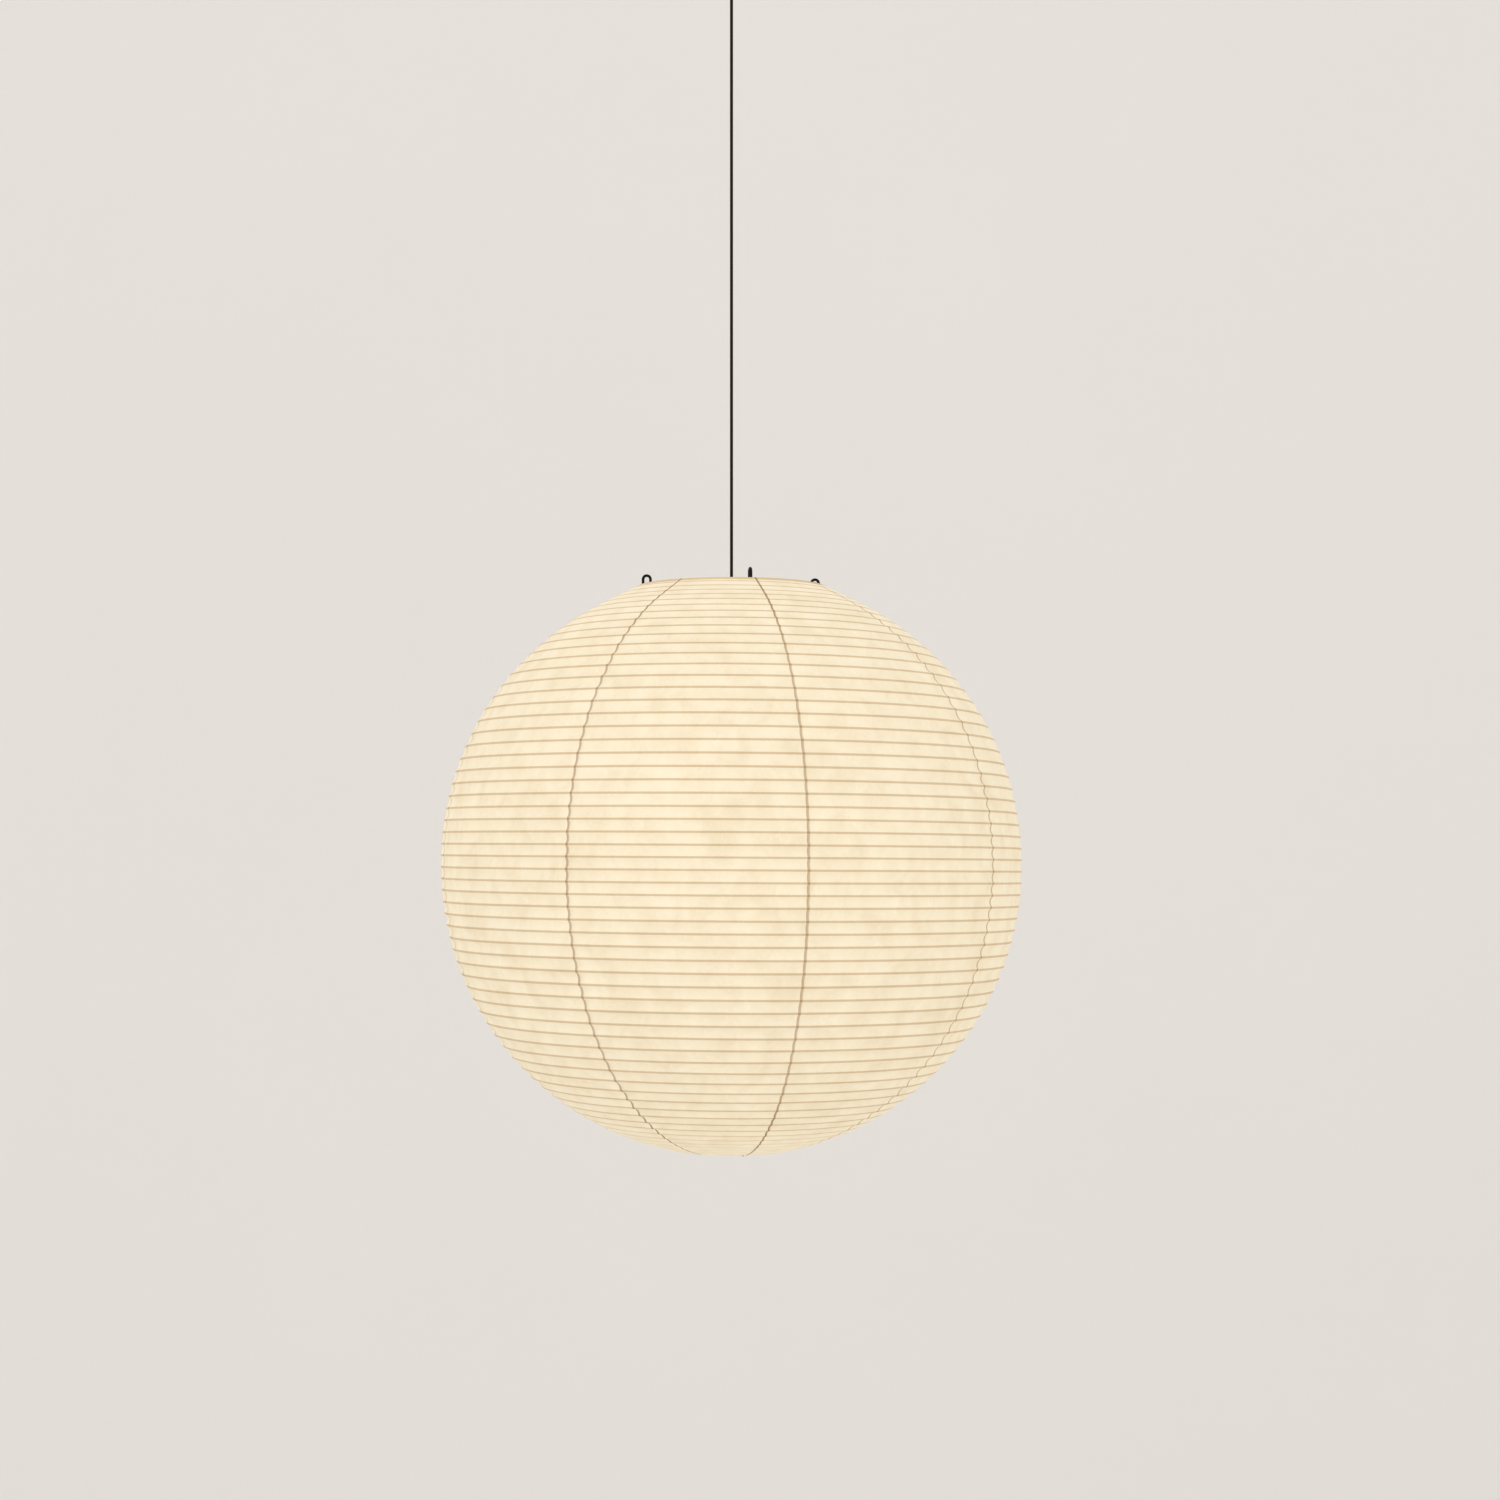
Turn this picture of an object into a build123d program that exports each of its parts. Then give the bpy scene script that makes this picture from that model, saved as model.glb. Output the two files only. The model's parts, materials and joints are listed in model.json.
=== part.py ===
from build123d import *

# A round paper lantern hung from a ceiling canopy by its cord.
# Millimetres, +Z up. The origin is the centre of the ceiling bracket's upper face, where it meets the ceiling.
# The lantern is viewed from the front along +Y, with +X to the right.

import os
from math import acos, atan2, copysign, cos, degrees, hypot, pi, radians, sin, sqrt

os.makedirs("parts", exist_ok=True)

# ---------------------------------------------------------------- driving dimensions
# shade
SHADE_R = 375.0  # radius of the ball at its middle
SHADE_WAIST = 3.8  # height of the straight stretch at the ball's middle
CENTRE_DROP = 1200.0  # ceiling to the middle of the ball
TOP_MOUTH_R = 122.0  # outer radius of the paper at the top opening
CONE_START_R = 169.0  # above this radius the paper runs straight to the top hoop
BOTTOM_MOUTH_R = 75.0  # outer radius of the paper at the bottom opening
PAPER = 0.5
GORES = 8
FIRST_SEAM_DEG = 14.0  # the first seam's bearing, from the front towards the right
TAB_WIDTH = 4.0  # how far each gore is glued under the next
GLUE_GAP = 0.05

# rib: one flat strip, wound down the inside of the paper
RIB_WIDTH = 2.6
RIB_DEPTH = 0.9
TURNS_ABOVE = 28.5
TURNS_BELOW = 31.3
PITCH_SWELL = 0.11  # the turns are this share further apart between the middle and the ends
RIB_FRONT_Z = -5.6  # a turn passes the front at this height from the middle

# hoops and their paper bindings
TOP_HOOP_WIRE_R = 1.75
BOTTOM_HOOP_WIRE_R = 1.5
BINDING = 0.5
TOP_HOOP_SET = 0.5  # how far outside the top opening's radius the hoop bears on the paper
BOTTOM_HOOP_SET = 1.5  # the same at the bottom opening
SEAT_GAP = 0.3  # clearance of curved faces that rest on each other

# wire frame
WIRE_R = 1.8
FRAME_FRONT_DEG = 12.5  # bearing of the inner wire; the outer wire is square to it
EYE_DROP = 40.0  # top edge of the shade down to the outer wire's eye
EYE_R = 22.5  # centre line of the eyes that the lampholder goes through
ARM_LEVEL_R = 34.0  # the arms run level this far out, past the lampholder
ARM_LOW_DROP = 20.0  # top edge of the shade down to the arm's corner
LOOP_RISE = 14.2  # how far the loops stand above the shade's top edge
LOOP_HALF = 4.85  # half the spacing of a loop's two sides
FOOT_LENGTH = 6.5
ARM_BEND_R = 6.0
FOOT_BEND_R = 2.5
LEG_R = 62.0
LEG_BEND_R = 12.0
KNEE_R = 3.0
KNEE_LEG_DEG = 14.0  # slope of the leg just above its knee, from upright
KNEE_BAR_DEG = 22.0  # slope of the bar just after its knee, from level
BAR_RISE = 9.0  # bottom edge of the shade up to the outer wire's bar
BAR_BEND_R = 12.0
PIVOT_EYE_R = 4.0
RIVET_HEAD_R = 5.2
RIVET_HEAD_H = 1.6

# cord
CORD_R = 2.0
RUNNING_FIT = 0.08
CORE_R = 0.9
CORE_SPREAD = 1.05

# ceiling canopy
CANOPY_R = 50.0
CANOPY_H = 46.0
CANOPY_WALL = 1.5
CANOPY_CORNER = 10.0
BRACKET_LENGTH = 92.0
BRACKET_WIDTH = 20.0
BRACKET_T = 2.0
BRACKET_TAB = 22.0
SLOT_SPACING = 56.0
SLOT_R = 2.2
SLOT_LENGTH = 9.0
SIDE_SCREW_R = 1.5
SIDE_SCREW_DROP = 14.0
SIDE_SCREW_HEAD_R = 3.0
SIDE_SCREW_HEAD_H = 2.0
SIDE_SCREW_LENGTH = 9.0
SCREW_FIT = 0.1

# cord grip in the canopy
GRIP_R = 8.0
GRIP_BELOW = 14.0
GRIP_STEM_R = 5.0
GRIP_STEM_H = 13.0
GRIP_MOUTH_R = 5.6
PIVOT_ABOVE_MOUTH = 2.6
GRIP_NUT_R = 9.0
GRIP_NUT_H = 3.5
GRIP_SCREW_R = 1.4

# terminal block
BLOCK_X = 22.0
BLOCK_Y = 12.0
BLOCK_Z = 10.0
BLOCK_POLES = 2
BLOCK_HOLE_R = 1.6
BLOCK_SCREW_R = 1.4
BLOCK_WELL_R = 1.7

# lampholder
SHELL_R = 19.6
SHELL_WALL = 2.2
SHELL_BELOW = 36.0
SHELL_ABOVE = 10.0
SHOULDER_R = 25.0
SHOULDER_H = 3.0
RING_R = 27.0
RING_H = 8.0
RING_FLUTES = 24
FLUTE_R = 1.4
FLUTE_OUT = 0.6  # a flute's centre is this far outside the ring
CAP_R = 21.6
CAP_H = 30.0
CAP_WALL = 2.0
CAP_TOP_R = 8.5
BUSH_R = 5.0
BUSH_RISE = 8.0
INSERT_H = 12.0
INSERT_BELOW_EYE = 2.0
TERMINAL_X = 9.0  # the terminals' distance from the axis
TERMINAL_HOLE_R = 2.2
TERMINAL_SCREW_R = 2.1
SLEEVE_LENGTH = 26.0
SLEEVE_WALL = 0.4
CONTACT_LENGTH = 12.0
CONTACT_WIDTH = 5.0
CONTACT_T = 0.6

# bulb
LAMP_CAP_R = 13.2
LAMP_CAP_LENGTH = 23.0
LAMP_CAP_WALL = 0.5
LAMP_LENGTH = 108.0
LAMP_R = 30.0
LAMP_BODY_LENGTH = 34.0
LAMP_WALL = 1.2
BOARD_R = 21.0
BOARD_T = 1.2
CHIPS = 12
CHIP_SIZE = 2.8
CHIP_T = 0.7
CHIP_RING_R = 14.0

# ---------------------------------------------------------------- derived shade profile
HALF_WAIST = SHADE_WAIST / 2
CONE_SLOPE = CONE_START_R / sqrt(SHADE_R**2 - CONE_START_R**2)
CONE_START_Z = HALF_WAIST + sqrt(SHADE_R**2 - CONE_START_R**2)
TOP_EDGE = CONE_START_Z + CONE_SLOPE * (CONE_START_R - TOP_MOUTH_R)
BOTTOM_EDGE = -HALF_WAIST - sqrt(SHADE_R**2 - BOTTOM_MOUTH_R**2)

CONE_ANGLE = acos(CONE_START_R / SHADE_R)  # the outward normal's climb on the cone
TOP_BINDING_R = TOP_HOOP_WIRE_R + BINDING
BOTTOM_BINDING_R = BOTTOM_HOOP_WIRE_R + BINDING
GLUED = 2 * PAPER + GLUE_GAP  # thickness where one gore lies over the next
TOP_SINK = TOP_BINDING_R + SEAT_GAP + GLUED
TOP_HOOP_R = TOP_MOUTH_R + TOP_HOOP_SET - TOP_SINK * cos(CONE_ANGLE)
TOP_HOOP_Z = TOP_EDGE - TOP_HOOP_SET * CONE_SLOPE - TOP_SINK * sin(CONE_ANGLE)
BOTTOM_CLIMB = acos(BOTTOM_MOUTH_R / SHADE_R)  # the outward normal's dip at the bottom edge
BOTTOM_SINK = BOTTOM_BINDING_R + SEAT_GAP + GLUED
BOTTOM_HOOP_R = BOTTOM_MOUTH_R + BOTTOM_HOOP_SET - BOTTOM_SINK * cos(BOTTOM_CLIMB)
BOTTOM_HOOP_Z = BOTTOM_EDGE + BOTTOM_SINK * sin(BOTTOM_CLIMB)

# levels from the ceiling
CENTRE_Z = -CENTRE_DROP
RIM_Z = CENTRE_Z + TOP_EDGE
EYE_Z = RIM_Z - EYE_DROP
EYE_STEP = 2 * WIRE_R + SEAT_GAP  # the inner wire lies this much lower where the wires cross
CANOPY_BOTTOM = -CANOPY_H
GRIP_FACE = CANOPY_BOTTOM - GRIP_BELOW
PIVOT_Z = GRIP_FACE + PIVOT_ABOVE_MOUTH
OUTER_BEARING = FRAME_FRONT_DEG + 90.0


def save(shape, node):
    """Write one node's solids to its own STEP file."""
    export_step(shape, f"parts/{node}.step")


def tube(outer, inner, low, high):
    """A plain round tube on the Z axis between two heights."""
    wall = Cylinder(outer, high - low) - Cylinder(inner, high - low)
    return Pos(0, 0, (low + high) / 2) * wall


def rod(radius, low, high, x=0.0, y=0.0):
    """A round bar parallel to Z between two heights."""
    return Pos(x, y, (low + high) / 2) * Cylinder(radius, high - low)


def turned(points):
    """A solid of revolution about Z from a closed outline of (radius, height) points."""
    return revolve(Plane.XZ * make_face(Polyline(*points, close=True)), Axis.Z, 360)


def bent_wire(path, radius):
    """Round wire along a path drawn in the upright plane through the axis, as (distance from axis, height)."""
    wire = Plane.XZ * path
    start = Plane(origin=wire @ 0, z_dir=wire % 0)
    return sweep(start * Circle(radius), path=wire)


def with_eye(half, eye_r, eye_z):
    """A half frame, its copy turned half way round the axis, and the eye that joins them."""
    eye = Pos(0, 0, eye_z) * Rot(0, 0, 90) * Torus(eye_r, WIRE_R)
    return Part() + [eye, half, Rot(0, 0, 180) * half]


def bearing(shape, degrees_right):
    """Turn a shape drawn towards +X so that it points at a bearing from the front, towards the right."""
    return Rot(0, 0, degrees_right - 90.0) * shape


# ---------------------------------------------------------------- shade
def shade_outline(inset):
    """The paper's half outline from the bottom mouth to the top mouth, moved inwards by inset."""
    radius = SHADE_R - inset
    dip = degrees(acos(BOTTOM_MOUTH_R / SHADE_R))
    climb = degrees(acos(CONE_START_R / SHADE_R))
    lower = CenterArc((0, CENTRE_Z - HALF_WAIST), radius, -dip, dip)
    upper = CenterArc((0, CENTRE_Z + HALF_WAIST), radius, 0, climb)
    tip = (TOP_MOUTH_R - inset * cos(CONE_ANGLE), RIM_Z - inset * sin(CONE_ANGLE))
    return [lower, Line(lower @ 1, upper @ 0), upper, Line(upper @ 1, tip)]


def paper_shell(outer_inset, thickness, sweep_deg, start_bearing):
    """A strip of the paper's wall between two bearings."""
    outer = shade_outline(outer_inset)
    inner = shade_outline(outer_inset + thickness)
    ends = [Line(outer[0] @ 0, inner[0] @ 0), Line(outer[-1] @ 1, inner[-1] @ 1)]
    face = make_face(Curve() + outer + inner + ends)
    strip = revolve(Plane.XZ * face, Axis.Z, sweep_deg)
    return bearing(strip, start_bearing)


def gore(index):
    """One paper gore, with the tab that is glued under its neighbour."""
    step = 360.0 / GORES
    seam = FIRST_SEAM_DEG + index * step
    tab_deg = degrees(TAB_WIDTH / SHADE_R)
    sheet = paper_shell(0.0, PAPER, step, seam)
    root = paper_shell(0.0, 2 * PAPER + GLUE_GAP, tab_deg / 4, seam + step - tab_deg / 4)
    tab = paper_shell(PAPER + GLUE_GAP, PAPER, tab_deg, seam + step - tab_deg / 8)
    return sheet + root + tab


def rib_length(turn):
    """Length up the outline from the middle to the rib, after this many turns from the middle."""
    cone = hypot(1, CONE_SLOPE) * (CONE_START_R - TOP_MOUTH_R)
    top_reach = HALF_WAIST + CONE_ANGLE * SHADE_R + cone
    bottom_reach = HALF_WAIST + BOTTOM_CLIMB * SHADE_R
    reach, turns = (top_reach, TURNS_ABOVE) if turn > 0 else (bottom_reach, TURNS_BELOW)
    share = turn / turns
    return reach * (share - PITCH_SWELL / (2 * pi) * sin(2 * pi * share))


def rib_point(turn):
    """Distance from the axis, height and outward climb of the rib's back after some turns from the middle."""
    depth = 2 * PAPER + GLUE_GAP + GLUE_GAP + RIB_DEPTH / 2
    length = rib_length(turn)
    climb = copysign(max(abs(length) - HALF_WAIST, 0.0), length) / SHADE_R
    if climb > CONE_ANGLE:
        along = (climb - CONE_ANGLE) * SHADE_R / hypot(1, CONE_SLOPE)
        radius = CONE_START_R - along
        height = CONE_START_Z + CONE_SLOPE * along
        climb = CONE_ANGLE
    else:
        radius = SHADE_R * cos(climb)
        height = max(-HALF_WAIST, min(HALF_WAIST, length)) + SHADE_R * sin(climb)
    return radius - depth * cos(climb), CENTRE_Z + height - depth * sin(climb), climb


def rib_half_turn(turn, side):
    """Half a turn of the strip, as a tilted half ring whose ends meet its neighbours face to face."""
    start_r, start_z, start_climb = rib_point(turn)
    end_r, end_z, end_climb = rib_point(turn - 0.5)
    tilt = degrees(atan2(start_z - end_z, start_r + end_r))
    middle_r = (start_r + end_r) / 2
    climb = degrees((start_climb + end_climb) / 2)
    section = Plane.XZ * (Pos(middle_r, 0) * Rot(0, 0, climb) * Rectangle(RIB_DEPTH, RIB_WIDTH))
    half_ring = revolve(section, Axis.Z, 180)
    centre = Pos((end_r - start_r) / 2 * -side, 0, (start_z + end_z) / 2)
    turned_ring = half_ring if side > 0 else Rot(0, 0, 180) * half_ring
    return centre * Rot(0, side * -tilt, 0) * turned_ring


def bamboo_rib():
    """The whole rib: half turns from just under the top hoop to just above the bottom hoop."""
    front_turns = RIB_FRONT_Z / rib_length(1.0)
    first = TURNS_ABOVE - 0.75
    halves = int((TURNS_ABOVE + TURNS_BELOW - 1.5) * 2)
    pieces = []
    for count in range(halves):
        side = 1 if count % 2 == 0 else -1
        pieces.append(rib_half_turn(first - count * 0.5 + front_turns, side))
    return Compound(children=pieces)


def bound_hoop(radius, height, wire_r):
    """A wire hoop and the paper binding wrapped round it."""
    place = Pos(0, 0, height)
    hoop = place * Torus(radius, wire_r)
    binding = place * (Torus(radius, wire_r + BINDING) - Torus(radius, wire_r))
    return hoop, binding


# ---------------------------------------------------------------- wire frame
HOOP_TOP_Z = CENTRE_Z + TOP_HOOP_Z
HOOP_BOTTOM_Z = CENTRE_Z + BOTTOM_HOOP_Z
LOOP_OUT_R = TOP_HOOP_R - TOP_BINDING_R - SEAT_GAP - WIRE_R
LOOP_IN_R = LOOP_OUT_R - 2 * LOOP_HALF
LOOP_TOP_Z = RIM_Z + LOOP_RISE - WIRE_R
FOOT_Z = HOOP_TOP_Z - TOP_BINDING_R - SEAT_GAP - WIRE_R
KNEE_CENTRE_R = BOTTOM_HOOP_R - BOTTOM_BINDING_R - SEAT_GAP - WIRE_R - KNEE_R
BAR_Z = CENTRE_Z + BOTTOM_EDGE + BAR_RISE


def arm_height(distance, eye_z):
    """Height of an arm's centre line at a distance from the axis."""
    corner_z = RIM_Z - ARM_LOW_DROP
    return eye_z + (corner_z - eye_z) * (distance - ARM_LEVEL_R) / (LOOP_IN_R - ARM_LEVEL_R)


def frame_arms(eye_z):
    """The upper wire: an eye for the lampholder, two arms, and at each end a loop and a foot for the hoop."""
    shoulder_z = LOOP_TOP_Z - LOOP_HALF
    inner_side = FilletPolyline(
        (EYE_R, eye_z),
        (ARM_LEVEL_R, eye_z),
        (LOOP_IN_R, RIM_Z - ARM_LOW_DROP),
        (LOOP_IN_R, shoulder_z),
        radius=ARM_BEND_R,
    )
    crown = CenterArc((LOOP_IN_R + LOOP_HALF, shoulder_z), LOOP_HALF, 180, -180)
    outer_side = FilletPolyline(
        (LOOP_OUT_R, shoulder_z),
        (LOOP_OUT_R, FOOT_Z),
        (LOOP_OUT_R + FOOT_LENGTH, FOOT_Z),
        radius=FOOT_BEND_R,
    )
    half = bent_wire(inner_side + crown + outer_side, WIRE_R)
    return with_eye(half, EYE_R, eye_z)


def knee_corner():
    """Where the leg's and the bar's straight lines would meet, outside the knee's round bend."""
    leg = radians(KNEE_LEG_DEG)
    bar = radians(KNEE_BAR_DEG)
    ax, az = cos(leg), sin(leg)
    bx, bz = -sin(bar), -cos(bar)
    span = ax * bz - az * bx
    return (
        KNEE_CENTRE_R + KNEE_R * (bz - az) / span,
        HOOP_BOTTOM_Z + KNEE_R * (ax - bx) / span,
    )


def frame_legs(eye_z, bar_z):
    """The lower wire: two legs with knees against the bottom hoop, and a bar with an eye for the rivet."""
    corner_r, corner_z = knee_corner()
    leg_turn_z = corner_z + (corner_r - LEG_R) / sin(radians(KNEE_LEG_DEG)) * cos(radians(KNEE_LEG_DEG))
    bar_run = (bar_z - corner_z) / sin(radians(KNEE_BAR_DEG)) * cos(radians(KNEE_BAR_DEG))
    weld_z = arm_height(LEG_R, eye_z) - 2 * WIRE_R
    path = FilletPolyline(
        (PIVOT_EYE_R, bar_z),
        (corner_r - bar_run, bar_z),
        (corner_r, corner_z),
        (LEG_R, leg_turn_z),
        (LEG_R, weld_z),
        radius=[BAR_BEND_R, KNEE_R, LEG_BEND_R],
    )
    half = bent_wire(path, WIRE_R)
    return with_eye(half, PIVOT_EYE_R, bar_z)


def frame_rivet(upper_z, lower_z):
    """The rivet through the two bars' eyes, with a head at each end."""
    shank_r = PIVOT_EYE_R - WIRE_R - RUNNING_FIT
    top = upper_z + WIRE_R + SEAT_GAP
    low = lower_z - WIRE_R - SEAT_GAP
    heads = rod(RIVET_HEAD_R, top, top + RIVET_HEAD_H) + rod(RIVET_HEAD_R, low - RIVET_HEAD_H, low)
    return heads + rod(shank_r, low, top)


# ---------------------------------------------------------------- lampholder
SHOULDER_LOW = EYE_Z + WIRE_R + SEAT_GAP
SHOULDER_TOP = SHOULDER_LOW + SHOULDER_H
RING_TOP = EYE_Z - EYE_STEP - WIRE_R - SEAT_GAP
CAP_TOP = SHOULDER_TOP + CAP_H
SLEEVE_OUTER_R = LAMP_CAP_R + RUNNING_FIT + SLEEVE_WALL
INSERT_R = SHELL_R - SHELL_WALL - SCREW_FIT
INSERT_LOW = EYE_Z - INSERT_BELOW_EYE
SLEEVE_TOP = INSERT_LOW
BUSH_TOP = CAP_TOP + BUSH_RISE


def lampholder():
    """The lampholder's pieces by node name."""
    shell_bore = SHELL_R - SHELL_WALL
    shell = tube(SHELL_R, shell_bore, EYE_Z - SHELL_BELOW, SHOULDER_TOP + SHELL_ABOVE)
    shell += tube(SHOULDER_R, SHELL_R - 0.5, SHOULDER_LOW, SHOULDER_TOP)
    ring = tube(RING_R, SHELL_R + RUNNING_FIT, RING_TOP - RING_H, RING_TOP)
    for count in range(RING_FLUTES):
        flute = Pos(RING_R + FLUTE_OUT, 0, RING_TOP - RING_H / 2) * Cylinder(FLUTE_R, RING_H + 1)
        ring -= Rot(0, 0, count * 360 / RING_FLUTES) * flute
    cap_inner = CAP_R - CAP_WALL + SCREW_FIT
    cap_low = SHOULDER_TOP + SCREW_FIT
    cap = turned(
        [
            (CAP_R, cap_low),
            (CAP_R, CAP_TOP - 12),
            (CAP_TOP_R + 4, CAP_TOP - 3),
            (CAP_TOP_R, CAP_TOP),
            (BUSH_R + SCREW_FIT, CAP_TOP),
            (BUSH_R + SCREW_FIT, CAP_TOP - CAP_WALL - 2),
            (CAP_TOP_R + 2.5, CAP_TOP - CAP_WALL - 3.5),
            (cap_inner, CAP_TOP - 13),
            (cap_inner, cap_low),
        ]
    )
    bush_low = CAP_TOP - CAP_WALL - 4
    bush = turned(
        [
            (CORD_R + RUNNING_FIT, bush_low),
            (BUSH_R + 1.4, bush_low),
            (BUSH_R + 1.4, CAP_TOP - CAP_WALL - 2.5),
            (BUSH_R, CAP_TOP - CAP_WALL - 2.5),
            (BUSH_R, CAP_TOP + 2),
            (CORD_R + 1.0, BUSH_TOP),
            (CORD_R + RUNNING_FIT, BUSH_TOP),
        ]
    )
    insert = rod(INSERT_R, INSERT_LOW, INSERT_LOW + INSERT_H)
    for side in (-1, 1):
        insert -= rod(TERMINAL_HOLE_R, INSERT_LOW + 4, INSERT_LOW + INSERT_H + 1, x=side * TERMINAL_X)
    screws = Compound(
        children=[
            rod(TERMINAL_SCREW_R, INSERT_LOW + INSERT_H - 4, INSERT_LOW + INSERT_H + 1.5, x=side * TERMINAL_X)
            for side in (-1, 1)
        ]
    )
    sleeve = tube(SLEEVE_OUTER_R, SLEEVE_OUTER_R - SLEEVE_WALL, SLEEVE_TOP - SLEEVE_LENGTH, SLEEVE_TOP)
    contact = Pos(0, 0, SLEEVE_TOP - CONTACT_T / 2) * Box(CONTACT_LENGTH, CONTACT_WIDTH, CONTACT_T)
    core_top = bush_low - 0.2
    core_low = INSERT_LOW + INSERT_H + 1.7
    cores = []
    for side in (-1, 1):
        path = FilletPolyline(
            (side * CORE_SPREAD, core_top),
            (side * CORE_SPREAD, core_top - 5),
            (side * TERMINAL_X, core_low + 4),
            (side * TERMINAL_X, core_low),
            radius=2.5,
        )
        cores.append(bent_wire(path, CORE_R))
    return {
        "holder_shell": shell,
        "holder_shade_ring": ring,
        "holder_cap": cap,
        "holder_cord_bush": bush,
        "holder_insert": insert,
        "holder_terminal_screws": screws,
        "holder_screw_sleeve": sleeve,
        "holder_centre_contact": contact,
        "holder_cores": Compound(children=cores),
    }


# ---------------------------------------------------------------- bulb
LAMP_TIP_Z = SLEEVE_TOP - CONTACT_T - SEAT_GAP


def bulb():
    """The bulb's pieces by node name, hanging with its tip up."""
    tip = turned(
        [
            (0, LAMP_TIP_Z),
            (3.2, LAMP_TIP_Z - 0.6),
            (4.6, LAMP_TIP_Z - 2.2),
            (0, LAMP_TIP_Z - 2.2),
        ]
    )
    cap_top = LAMP_TIP_Z - 5.2
    cap_low = cap_top - LAMP_CAP_LENGTH
    insulator = turned(
        [
            (0, LAMP_TIP_Z - 2.3),
            (4.8, LAMP_TIP_Z - 2.3),
            (9.5, cap_top + 0.1),
            (9.5, cap_top - 2.0),
            (0, cap_top - 2.0),
        ]
    )
    inner_r = LAMP_CAP_R - LAMP_CAP_WALL
    screw_cap = turned(
        [
            (9.6, cap_top),
            (11.0, cap_top),
            (LAMP_CAP_R, cap_top - 2.5),
            (LAMP_CAP_R, cap_low),
            (inner_r, cap_low),
            (inner_r, cap_top - 2.6),
            (10.8, cap_top - LAMP_CAP_WALL),
            (9.6, cap_top - LAMP_CAP_WALL),
        ]
    )
    body_low = cap_low - LAMP_BODY_LENGTH
    neck_r = inner_r - RUNNING_FIT
    flare = Spline(
        (LAMP_CAP_R, cap_low - 0.2),
        (LAMP_CAP_R + 4.5, cap_low - LAMP_BODY_LENGTH * 0.45),
        (LAMP_R - 3.5, body_low),
    )
    body_edge = (
        flare
        + Line((LAMP_R - 3.5, body_low), (0, body_low))
        + Line((0, body_low), (0, cap_low + 8))
        + Line((0, cap_low + 8), (neck_r, cap_low + 8))
        + Line((neck_r, cap_low + 8), (neck_r, cap_low - 0.2))
        + Line((neck_r, cap_low - 0.2), (LAMP_CAP_R, cap_low - 0.2))
    )
    body = revolve(Plane.XZ * make_face(body_edge), Axis.Z, 360)
    board = rod(BOARD_R, body_low - BOARD_T - 0.1, body_low - 0.1)
    chip_z = body_low - 0.1 - BOARD_T - CHIP_T / 2
    chips = Compound(
        children=[
            Rot(0, 0, count * 360 / CHIPS) * Pos(CHIP_RING_R, 0, chip_z) * Box(CHIP_SIZE, CHIP_SIZE, CHIP_T)
            for count in range(CHIPS)
        ]
    )
    low = LAMP_TIP_Z - LAMP_LENGTH
    globe_z = low + LAMP_R
    edge_r = LAMP_R - 3.6
    lift = sqrt(LAMP_R**2 - edge_r**2)
    inner_edge = edge_r - LAMP_WALL
    inner_lift = sqrt((LAMP_R - LAMP_WALL) ** 2 - inner_edge**2)
    rim_z = body_low - 0.1
    outer_side = Line((edge_r, rim_z), (edge_r, globe_z + lift))
    outer_arc = ThreePointArc((edge_r, globe_z + lift), (LAMP_R, globe_z), (0, low))
    inner_arc = ThreePointArc(
        (0, low + LAMP_WALL), (LAMP_R - LAMP_WALL, globe_z), (inner_edge, globe_z + inner_lift)
    )
    outline = (
        outer_side
        + outer_arc
        + Line((0, low), (0, low + LAMP_WALL))
        + inner_arc
        + Line((inner_edge, globe_z + inner_lift), (inner_edge, rim_z))
        + Line((inner_edge, rim_z), (edge_r, rim_z))
    )
    diffuser = revolve(Plane.XZ * make_face(outline), Axis.Z, 360)
    return {
        "bulb_tip": tip,
        "bulb_insulator": insulator,
        "bulb_screw_cap": screw_cap,
        "bulb_body": body,
        "bulb_board": board,
        "bulb_chips": chips,
        "bulb_diffuser": diffuser,
    }


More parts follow.
